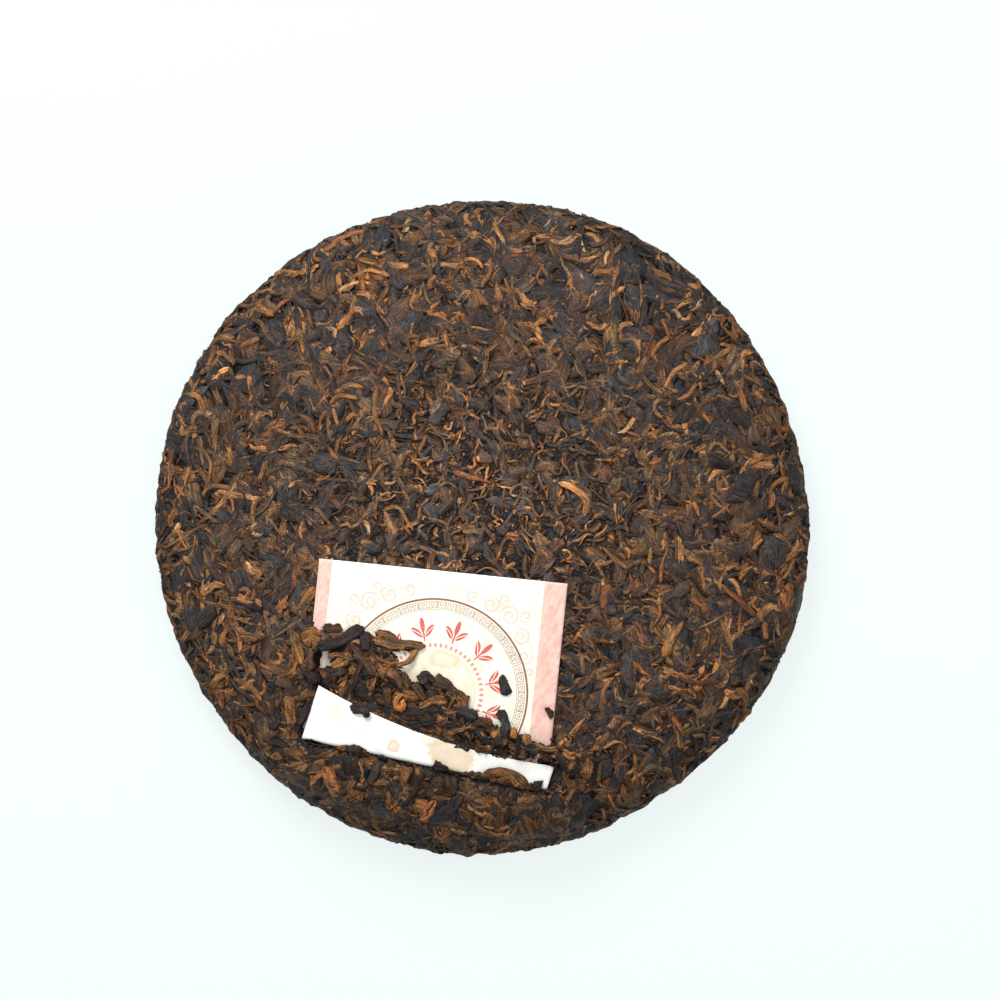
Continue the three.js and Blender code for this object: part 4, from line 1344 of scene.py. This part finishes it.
PAPER_SHINE = 0.35
AGED_PAPER = (0.88, 0.69, 0.46)
SCROLL_INK = (0.84, 0.52, 0.46)
FRET_INK = (0.33, 0.19, 0.13)
STAIN_COLOUR = (0.76, 0.52, 0.25)

# The stains: across and down on the sheet, radius, length to width, how dark the edge is, and strength.
STRIP_STAINS = (
    (27.4, 62.4, 2.0, 1.0, 0.7, 0.7),
    (45.0, 65.2, 5.4, 1.5, 0.2, 1.0),
    (7.6, 67.0, 1.8, 1.2, 0.2, 0.4),
    (10.8, 64.8, 1.3, 1.3, 0.2, 0.35),
    (16.6, 62.6, 1.6, 1.0, 0.2, 0.25),
    (37.0, 67.2, 1.8, 1.6, 0.2, 0.4),
)
PANEL_STAINS = (
    (41.0, 26.5, 3.2, 1.7, 0.7, 0.4),
    (50.0, 27.5, 3.0, 1.0, 0.3, 0.3),
    (47.0, 35.0, 4.5, 1.3, 0.2, 0.25),
    (56.0, 8.5, 2.6, 1.0, 0.2, 0.12),
)


def paper_material(name, colours, printed, stains):
    """One side of the sheet: paper with or without its print, and its stains."""
    material, tree, shader = new_material(name)
    grain = place_group(tree, shared_group("Paper grain", grain_group), cloud_size=0.12)
    paper = tuple(colours.paper if printed else colours.back)
    dull = tuple(0.93 * value for value in paper)
    colour = mix_colour(tree, grain["Cloud"].ramp(0.35, 0.7), paper, dull)
    if printed:
        ink = place_group(tree, shared_group("Ticket print", print_group))
        layers = (
            (ink["Warmth"], AGED_PAPER),
            (ink["Band"] * 0.95, colours.band),
            (ink["Scroll"] * 0.75, SCROLL_INK),
            (ink["Fret"] * 0.75, FRET_INK),
            (ink["Line"], colours.ring),
            (ink["Mark"] * 0.92, colours.mark),
        )
        for share, tint in layers:
            colour = mix_colour(tree, share, colour, tuple(tint))
    stain = shared_group("Tea stain", stain_group)
    for across, down, radius, long, edge, strength in stains:
        spot = place_group(tree, stain, across=across, down=down, radius=radius, long=long, edge=edge)
        colour = mix_colour(tree, spot["Stain"] * strength, colour, STAIN_COLOUR)
    roughness = grain["Cloud"].ramp(0.2, 0.8, 0.55, 0.72)
    dress(tree, shader, colour, roughness, PAPER_SHINE, grain["Height"], 0.00012)
    return material


# What a user would change.


def colour_property(label, description, default):
    return FloatVectorProperty(
        name=label, description=description, default=default, subtype="COLOR", size=3, min=0.0, max=1.0)


def count_property(label, description, default):
    return IntProperty(name=label, description=description, default=default, min=1)


class LeafSettings(PropertyGroup):
    """How many leaves of each kind the cake has, and their colours."""
    broad: count_property("Broad leaves", "Dark, flat, on the face and side", 1050)
    dark: count_property("Dark strips", "On the face and side", 1500)
    brown_count: count_property("Brown strips", "On the face and side", 1900)
    golden_count: count_property("Golden shreds", "On the face and side", 2150)
    crumbs: count_property("Crumbs", "Bits on the face and side", 4150)
    back_leaves: count_property("Back leaves", "On the back", 950)
    slate: colour_property("Slate", "The bluish dark leaves", (0.0315, 0.0298, 0.0315))
    charcoal: colour_property("Charcoal", "The plain dark leaves", (0.0395, 0.0285, 0.026))
    brown: colour_property("Brown", "Leaves of the dark brown tone", (0.084, 0.044, 0.0255))
    olive: colour_property("Olive", "Leaves of the light brown tone", (0.122, 0.067, 0.033))
    ochre: colour_property("Ochre", "Leaves of the orange brown tone", (0.21, 0.097, 0.035))
    russet: colour_property("Russet", "The reddish leaves", (0.21, 0.075, 0.03))
    golden: colour_property("Golden", "Buds and strands", (0.305, 0.134, 0.047))
    pale: colour_property("Pale", "The lightest buds", (0.36, 0.2, 0.095))
    seed: IntProperty(name="Seed", description="Start of the random draws", default=357)


class TicketSettings(PropertyGroup):
    """The ticket's colours, and how many leaves lie over it."""
    paper: colour_property("Paper", "The sheet's own colour", (0.99, 0.96, 0.81))
    back: colour_property("Back", "The colour of its blank back", (0.99, 0.98, 0.93))
    band: colour_property("Bands", "The fields along its sides", (0.81, 0.41, 0.35))
    ring: colour_property("Ring", "The line round the fret", (0.27, 0.1, 0.07))
    mark: colour_property("Marks", "The leaf marks in the ring", (0.66, 0.045, 0.045))
    pile_count: count_property("Leaves", "Piled over the ticket", 680)


class StageSettings(PropertyGroup):
    """The camera, the light and the floor."""
    camera_height: FloatProperty(
        name="Camera height", description="Of the lens over the floor", default=1.6, unit="LENGTH", min=0.5)
    frame_width: FloatProperty(
        name="Picture width", description="What the picture takes in at the cake's edge",
        default=0.3072, unit="LENGTH", min=0.1)
    key_power: FloatProperty(name="Key light", description="Its power", default=17.0, unit="POWER", min=0.0)
    floor: colour_property("Floor", "The table's colour", (0.12, 0.13, 0.13))
    glow: colour_property("Floor glow", "The light that comes up through the table", (0.93, 0.99, 0.99))


def settings():
    """The leaves' settings in this scene."""
    return bpy.context.scene.tea_cake_leaves


def random_draws(step):
    """The random draws of one step, the same in each run."""
    return np.random.default_rng(settings().seed + step)


def palette(**shares):
    """Shares of the leaf colours, by name."""
    return [(share, getattr(settings(), name)) for name, share in shares.items()]


# The operators, one for each group of like pieces.


FACE_REACH = 112.0  # along the skin, from the middle of the face down the side
FLOW_SIZE = 22.0  # the size of the patches in which leaves lie alike
ZONE_BORDER = (35.0, 72.0)  # between the inner and the outer zone, a wide and blurred border
LEAF_JITTER = 1.8


def face_top(x, y):
    """The crest, or the paper's underside where leaves run under it."""
    open_top = crest(x, y) + ridge_height(x, y)
    return np.where(in_panel(x, y, 0.35), np.minimum(open_top, panel_lift(x, y) - 0.3), open_top)


def leaf_scale(x, y):
    """Finer leaves in the middle, larger ones at the edge."""
    return 0.68 + 0.5 * smooth(np.hypot(x, y), 20.0, 85.0)


def face_leaves(form_name, count, colours, draw, depth, clusters=0.0, zone="all"):
    """Leaves on the face and side, in all of it or in one zone, that stay clear of the bare paper."""
    centres = spread(draw, count, FACE_REACH, LEAF_JITTER)
    x, y = flat_place(centres[:, 0], centres[:, 1], "face")
    wanted = ~in_panel(x, y, -4.0)
    border = draw.uniform(*ZONE_BORDER, len(x))
    if zone != "all":
        wanted &= (np.hypot(x, y) > border) == (zone == "outer")
    if clusters:
        thick = wave_noise(x, y, 7.0 * clusters, 11.0) * 2.2 * clusters + draw.normal(0.0, 0.5, len(x))
        wanted &= thick > -0.45
    centres, x, y = centres[wanted], x[wanted], y[wanted]
    loose = 0.6 + 1.5 * smooth(np.hypot(x, y), 62.0, 95.0)
    heights = crest(x, y) - 0.3 - depth * loose * draw.beta(1.2, 2.0, len(centres)) + ridge_height(x, y)
    flow = 3.0 * math.pi * wave_noise(x, y, 60.0, FLOW_SIZE)
    headings = flow + draw.normal(0.0, 0.75, len(x))
    leaves = grown(form_name, centres, heights, colours, draw, leaf_scale(x, y), headings)
    return leaves.press("face", face_top), "face"


def lay_over_face(name, finish, step, count, shares, rows):
    """One piece of leaves on the face and side, from rows of form, share of the count, depth, and if need be
    clusters and zone."""
    draw, colours = random_draws(step), palette(**shares)
    batches = [face_leaves(form, int(share * count), colours, draw, *rest) for form, share, *rest in rows]
    add_leaves(name, batches, finish)


class TEA_OT_core(Operator):
    """Makes the pressed mass under the leaves"""
    bl_idname = "tea.core"
    bl_label = "Pressed core"

    def execute(self, context):
        add_piece("tea_core", core_mesh(), [core_material(settings())], ["tea_cake"])
        return {"FINISHED"}


class TEA_OT_dark_leaves(Operator):
    """Lays the dark broad leaves and strips over the face and side"""
    bl_idname = "tea.dark_leaves"
    bl_label = "Dark leaves"

    def execute(self, context):
        finish = leaf_material("dark_leaf", 0.7, 0.48, 1.0)
        shares = {"slate": 0.3, "charcoal": 0.42, "brown": 0.14, "olive": 0.14}
        lay_over_face("dark_broad_leaves", finish, 1, settings().broad, shares, (
            ("broad", 0.65, 0.5), ("broad", 0.35, 0.4, 0.0, "outer")))
        shares = {"slate": 0.25, "charcoal": 0.5, "brown": 0.25}
        lay_over_face("dark_strips", finish, 2, settings().dark, shares, (
            ("strip", 0.45, 0.6), ("strip", 0.55, 0.6, 0.0, "outer"), ("stem", 0.1, 0.2)))
        return {"FINISHED"}


class TEA_OT_brown_leaves(Operator):
    """Lays the brown strips and stems over the face and side"""
    bl_idname = "tea.brown_leaves"
    bl_label = "Brown leaves"

    def execute(self, context):
        finish = leaf_material("brown_leaf", 0.9, 0.54, 0.7)
        count = settings().brown_count
        shares = {"olive": 0.32, "ochre": 0.2, "brown": 0.33, "charcoal": 0.15}
        lay_over_face("brown_strips", finish, 3, count, shares, (
            ("strip", 0.62, 0.5), ("strip", 0.4, 0.25, 0.0, "inner"),
            ("broad", 0.08, 0.35), ("stem", 0.08, 0.2)))
        shares = {"russet": 0.7, "brown": 0.3}
        lay_over_face("russet_shreds", finish, 4, count, shares, (("shred", 0.2, 0.35),))
        return {"FINISHED"}


class TEA_OT_golden_leaves(Operator):
    """Lays the golden shreds and the strands that stand out, over the face and side"""
    bl_idname = "tea.golden_leaves"
    bl_label = "Golden leaves"

    def execute(self, context):
        finish = leaf_material("golden_leaf", 0.75, 0.58, 0.25)
        shares = {"golden": 0.55, "pale": 0.05, "ochre": 0.25, "olive": 0.15}
        lay_over_face("golden_shreds", finish, 5, settings().golden_count, shares, (
            ("shred", 0.6, 0.22, 1.0), ("ribbon", 0.42, 0.15, 1.0, "outer")))
        draw = random_draws(6)
        strands = []
        for kind, rows in FACE_STRANDS.items():
            leaves = traced("strip", rows, palette(**{kind: 1.0}), draw, lambda x, y: crest(x, y) - 0.25)
            strands.append((leaves.press("face", lambda x, y: crest(x, y) + 0.25), "face"))
        add_leaves("long_strands", strands, finish)
        return {"FINISHED"}


class TEA_OT_crumbs(Operator):
    """Scatters leaf crumbs of all colours over the face and side"""
    bl_idname = "tea.crumbs"
    bl_label = "Leaf crumbs"

    def execute(self, context):
        count = settings().crumbs
        dark = {"slate": 0.35, "charcoal": 0.3, "brown": 0.35}
        light = {"golden": 0.3, "ochre": 0.2, "olive": 0.3, "russet": 0.18, "pale": 0.02}
        lay_over_face("dark_crumbs", made_finish("dark_leaf"), 7, count, dark, (("crumb", 0.45, 0.3),))
        lay_over_face("light_crumbs", made_finish("golden_leaf"), 8, count, light, (("crumb", 0.55, 0.25),))
        return {"FINISHED"}


BACK_REACH = 98.0


class TEA_OT_back_leaves(Operator):
    """Lays leaves over the back and its hollow"""
    bl_idname = "tea.back_leaves"
    bl_label = "Back leaves"

    def execute(self, context):
        dark = {"slate": 0.5, "charcoal": 0.5}
        brown = {"olive": 0.5, "brown": 0.5}
        golden = {"golden": 0.7, "russet": 0.3}
        kinds = (
            ("back_dark_leaves", "dark_leaf", (("broad", 0.35), ("strip", 0.25)), dark),
            ("back_brown_leaves", "brown_leaf", (("strip", 0.25),), brown),
            ("back_golden_leaves", "golden_leaf", (("shred", 0.15),), golden),
        )
        for number, (name, finish, forms, shares) in enumerate(kinds):
            draw = random_draws(20 + number)
            batches = []
            for form, share in forms:
                centres = spread(draw, int(share * settings().back_leaves), BACK_REACH, LEAF_JITTER)
                heights = -0.25 - 0.4 * draw.beta(1.2, 2.0, len(centres))
                leaves = grown(form, centres, heights, palette(**shares), draw)
                batches.append((leaves.press("back", lambda x, y: np.full(np.shape(x), 0.3)), "back"))
            add_leaves(name, batches, made_finish(finish))
        return {"FINISHED"}


class TEA_OT_ticket(Operator):
    """Folds the printed paper and lays it in the face"""
    bl_idname = "tea.ticket"
    bl_label = "Paper ticket"

    def execute(self, context):
        colours = context.scene.tea_cake_ticket
        front = paper_material("ticket_front", colours, True, PANEL_STAINS)
        back = paper_material("ticket_back", colours, False, STRIP_STAINS)
        add_piece("ticket_sheet", ticket_mesh(), [front, back], ["paper_ticket"])
        scrap = traced("scrap", SCRAP, palette(slate=1.0), random_draws(30), panel_lift, 0.7)
        add_leaves("ticket_scrap", [(scrap, "face")], made_finish("dark_leaf"))
        return {"FINISHED"}


STRIP_COVER = 10.0  # from the fold, how far the second ridge lies over the strip
STRIP_MARGIN = 1.1  # round the strip, where leaves go under its paper
STRIP_UNDERSIDE = FLAP_LIFT - 0.35
PILE_SPREAD = 0.85  # how far a leaf turns away from its ridge, in radians
FRINGE_START = 338.0  # in the picture


def pile(form_name, count, colours, draw, ridge):
    """Leaves piled over the ticket that leave its bare parts free."""
    _, size, reach, spine = ridge
    spine = np.array(spine, dtype=float)
    legs = np.hypot(*np.diff(spine[:, :2], axis=0).T)
    at = draw.uniform(0.0, legs.sum(), count)
    starts = np.concatenate([[0.0], np.cumsum(legs)])
    spine_x, spine_y, half = (np.interp(at, starts, column) for column in spine.T)
    aside = draw.uniform(*reach, count) * half
    centres = np.stack(to_chart(spine_x + 0.25 * aside, spine_y + aside), axis=-1)
    layer = draw.uniform(0.0, 1.0, count) ** 0.6
    x, y = flat_place(centres[:, 0], centres[:, 1], "face")
    base = pile_floor(x, y) + 0.2
    heights = base + layer * np.maximum(pile_top(x, y) - 0.3 - base, 0.0)
    leg = np.clip(np.searchsorted(starts[1:], at), 0, len(legs) - 1)
    along = np.arctan2(np.diff(spine[:, 1]), np.diff(spine[:, 0]))[leg]
    headings = along + draw.normal(0.0, PILE_SPREAD, count)
    scale = size * draw.uniform(0.65, 1.15, count)
    leaves = grown(form_name, centres, heights, colours, draw, scale, headings)
    leaves.press("face", pile_top, pile_floor)
    flat = flat_place(leaves.x, leaves.y, "face")
    clear = ~(paper_shows(*flat) & (leaves.height > bare_limit(*flat))).any(axis=(1, 2))
    return leaves.keep(clear)


def on_strip(x, y):
    """Whether a place is over the folded strip, on the side that the second ridge covers."""
    return in_flap(x, y, 0.3) & (from_fold(x, y) < STRIP_COVER)


def under_strip(x, y):
    """Whether leaves run below the strip's paper there, as they do at its upper edge."""
    return in_flap(x, y, STRIP_MARGIN) & ~on_strip(x, y)


def pile_floor(x, y):
    """The lowest that a leaf over the ticket may lie."""
    floor = np.where(in_panel(x, y, 0.3), panel_lift(x, y) + 0.15, -1.0)
    return np.where(on_strip(x, y), FLAP_LIFT + 0.15, floor)


def pile_top(x, y):
    """The highest that the pile may reach, below the strip's paper where it runs under it."""
    top = crest(x, y) + ridge_height(x, y)
    beside = np.where(under_strip(x, y), STRIP_UNDERSIDE, top + 0.3)
    return np.where(on_strip(x, y), np.maximum(top, FLAP_LIFT + 1.0), beside)


def bare_limit(x, y):
    """Above this height a leaf would cover paper that is bare."""
    return np.where(in_flap(x, y), FLAP_LIFT - 0.1, panel_lift(x, y) - 0.1)


class TEA_OT_ticket_leaves(Operator):
    """Piles loose leaves over the ticket's middle and its fold"""
    bl_idname = "tea.ticket_leaves"
    bl_label = "Leaves over the ticket"

    def execute(self, context):
        count = context.scene.tea_cake_ticket.pile_count
        dark = {"charcoal": 0.6, "slate": 0.15, "brown": 0.25}
        brown = {"brown": 0.3, "olive": 0.25, "ochre": 0.35, "golden": 0.1}
        golden = {"golden": 0.65, "ochre": 0.35}
        kinds = (
            ("ticket_dark_leaves", "dark_leaf", ("charcoal", "slate"), dark,
             (("crumpled", 0.29), ("strip", 0.22), ("crumb", 0.6))),
            ("ticket_brown_leaves", "brown_leaf", ("brown", "ochre"), brown,
             (("crumpled", 0.17), ("strip", 0.22), ("crumb", 0.6))),
            ("ticket_golden_leaves", "golden_leaf", ("golden",), golden,
             (("shred", 0.24), ("crumpled", 0.14), ("crumb", 0.5))),
        )
        for number, (name, finish, own, shares, forms) in enumerate(kinds):
            draw = random_draws(40 + number)
            batches = []
            for form, share in forms:
                for ridge in RIDGES:
                    batches.append((pile(form, int(share * count), palette(**shares), draw, ridge), "face"))
            for colour in own:
                only = palette(**{colour: 1.0})
                strands = traced("crumpled", TICKET_STRANDS[colour], only, draw, hero_height, 1.5)
                batches.append((strands.press("face", hero_top, pile_floor), "face"))
                over = traced("crumpled", STRIP_STRANDS[colour], only, draw, over_paper, 1.2)
                over.press("face", lambda x, y: over_paper(x, y) + 1.6, over_paper)
                batches.append((over, "face"))
            for form, share in forms:
                batches.append((fringe(form, int(0.25 * share * count), palette(**shares), draw), "face"))
            add_leaves(name, batches, made_finish(finish))
        return {"FINISHED"}


def hero_top(x, y):
    """The highest that the larger leaves may reach."""
    return np.where(under_strip(x, y), STRIP_UNDERSIDE, pile_top(x, y) + 0.8)


def over_paper(x, y):
    """The height of a leaf that lies on whichever layer of the paper is uppermost."""
    return np.where(in_flap(x, y, 0.4), FLAP_LIFT + 0.2, pile_floor(x, y))


def fringe(form_name, count, colours, draw):
    """Small leaves along the strip's lower border, which hide the fold."""
    px = draw.uniform(FRINGE_START, STRIP_BORDER[-1][0], count)
    py = np.interp(px, *np.transpose(STRIP_BORDER)) + draw.uniform(2.0, 22.0, count)
    x, y = from_picture(px, py)
    centres = np.stack(to_chart(x, y), axis=-1)
    heights = over_paper(x, y) + draw.uniform(0.2, 0.9, count)
    headings = draw.normal(-0.3, 1.1, count)
    leaves = grown(form_name, centres, heights, colours, draw, 0.6, headings)
    leaves.press("face", lambda x, y: over_paper(x, y) + 1.3, over_paper)
    flat = flat_place(leaves.x, leaves.y, "face")
    return leaves.keep(~paper_shows(*flat).any(axis=(1, 2)))


def hero_height(x, y):
    """Where the larger leaves over the ticket lie, on the pile or on the bare paper."""
    return np.maximum(pile_floor(x, y) + 0.4, np.where(on_strip(x, y), FLAP_LIFT + 0.5, ridge_height(x, y)))


# Metres, and shares of the key light's power.
FLOOR_REACH = 6.0
FLOOR_DROP = 0.0002
FLOOR_GLOW = 0.82
SKY_COLOUR = (0.97, 0.99, 1.0)
SKY_STRENGTH = 0.55
LIGHTS = (("key", (-0.35, 0.9, 0.8), 0.6, 1.0), ("fill", (0.6, -0.2, 1.1), 1.2, 0.2))
EDGE_LEVEL = 0.01  # the height at which the picture's width is given
SENSOR_WIDTH = 36.0


class TEA_OT_stage(Operator):
    """Sets the floor, the lights and the camera"""
    bl_idname = "tea.stage"
    bl_label = "Floor, lights and camera"

    def execute(self, context):
        scene, stage = context.scene, context.scene.tea_cake_stage
        mesh = bpy.data.meshes.new("floor")
        signs = ((-1, -1), (1, -1), (1, 1), (-1, 1))
        corners = [(x * FLOOR_REACH, y * FLOOR_REACH, -FLOOR_DROP) for x, y in signs]
        mesh.from_pydata(corners, [], [(0, 1, 2, 3)])
        floor = bpy.data.objects.new("floor", mesh)
        material, _, shader = new_material("floor_finish")
        shader.inputs["Base Color"].default_value = (*stage.floor, 1.0)
        shader.inputs["Roughness"].default_value = 0.6
        shader.inputs["Emission Color"].default_value = (*stage.glow, 1.0)
        shader.inputs["Emission Strength"].default_value = FLOOR_GLOW
        mesh.materials.append(material)
        scene.collection.objects.link(floor)

        world = bpy.data.worlds.new("studio")
        world.use_nodes = True
        sky = world.node_tree.nodes["Background"].inputs
        sky["Color"].default_value = (*SKY_COLOUR, 1.0)
        sky["Strength"].default_value = SKY_STRENGTH
        scene.world = world
        for name, place, size, share in LIGHTS:
            add_light(name, place, size, share * stage.key_power)

        middle_x, middle_y = from_picture(500.0, 500.0)
        camera = bpy.data.cameras.new("camera")
        camera.sensor_width = SENSOR_WIDTH
        camera.lens = SENSOR_WIDTH * (stage.camera_height - EDGE_LEVEL) / stage.frame_width
        camera.clip_end = 20.0
        view = bpy.data.objects.new("camera", camera)
        view.location = (middle_x * MM, middle_y * MM, stage.camera_height)
        scene.collection.objects.link(view)
        scene.camera = view
        scene.view_settings.view_transform = "Standard"
        return {"FINISHED"}


def add_light(name, place, size, power):
    """A soft square light that faces the cake."""
    light = bpy.data.lights.new(name, "AREA")
    light.energy, light.size = power, size
    lamp = bpy.data.objects.new(name, light)
    lamp.location = place
    lamp.rotation_euler = (-Vector(place)).to_track_quat("-Z", "Y").to_euler()
    bpy.context.scene.collection.objects.link(lamp)


OPERATORS = (
    TEA_OT_core, TEA_OT_dark_leaves, TEA_OT_brown_leaves, TEA_OT_golden_leaves,
    TEA_OT_crumbs, TEA_OT_back_leaves, TEA_OT_ticket, TEA_OT_ticket_leaves, TEA_OT_stage,
)
SETTINGS = {
    "tea_cake_leaves": LeafSettings, "tea_cake_ticket": TicketSettings, "tea_cake_stage": StageSettings,
}


class TEA_PT_cake(Panel):
    """Lists the cake's settings and steps"""
    bl_idname = "TEA_PT_cake"
    bl_label = "Pressed tea cake"
    bl_space_type = "VIEW_3D"
    bl_region_type = "UI"
    bl_category = "Tea cake"

    def draw(self, context):
        for name, group in SETTINGS.items():
            box = self.layout.box()
            for field in group.__annotations__:
                box.prop(getattr(context.scene, name), field)
        for operator in OPERATORS:
            self.layout.operator(operator.bl_idname)


def register():
    for item in (*SETTINGS.values(), *OPERATORS, TEA_PT_cake):
        bpy.utils.register_class(item)
    for name, group in SETTINGS.items():
        setattr(bpy.types.Scene, name, PointerProperty(type=group))


def unregister():
    for name in SETTINGS:
        delattr(bpy.types.Scene, name)
    for item in (TEA_PT_cake, *reversed(OPERATORS), *SETTINGS.values()):
        bpy.utils.unregister_class(item)


def main():
    register()
    bpy.ops.tea.core()
    bpy.ops.tea.dark_leaves()
    bpy.ops.tea.brown_leaves()
    bpy.ops.tea.golden_leaves()
    bpy.ops.tea.crumbs()
    bpy.ops.tea.back_leaves()
    bpy.ops.tea.ticket()
    bpy.ops.tea.ticket_leaves()
    bpy.ops.tea.stage()


if __name__ == "__main__":
    main()
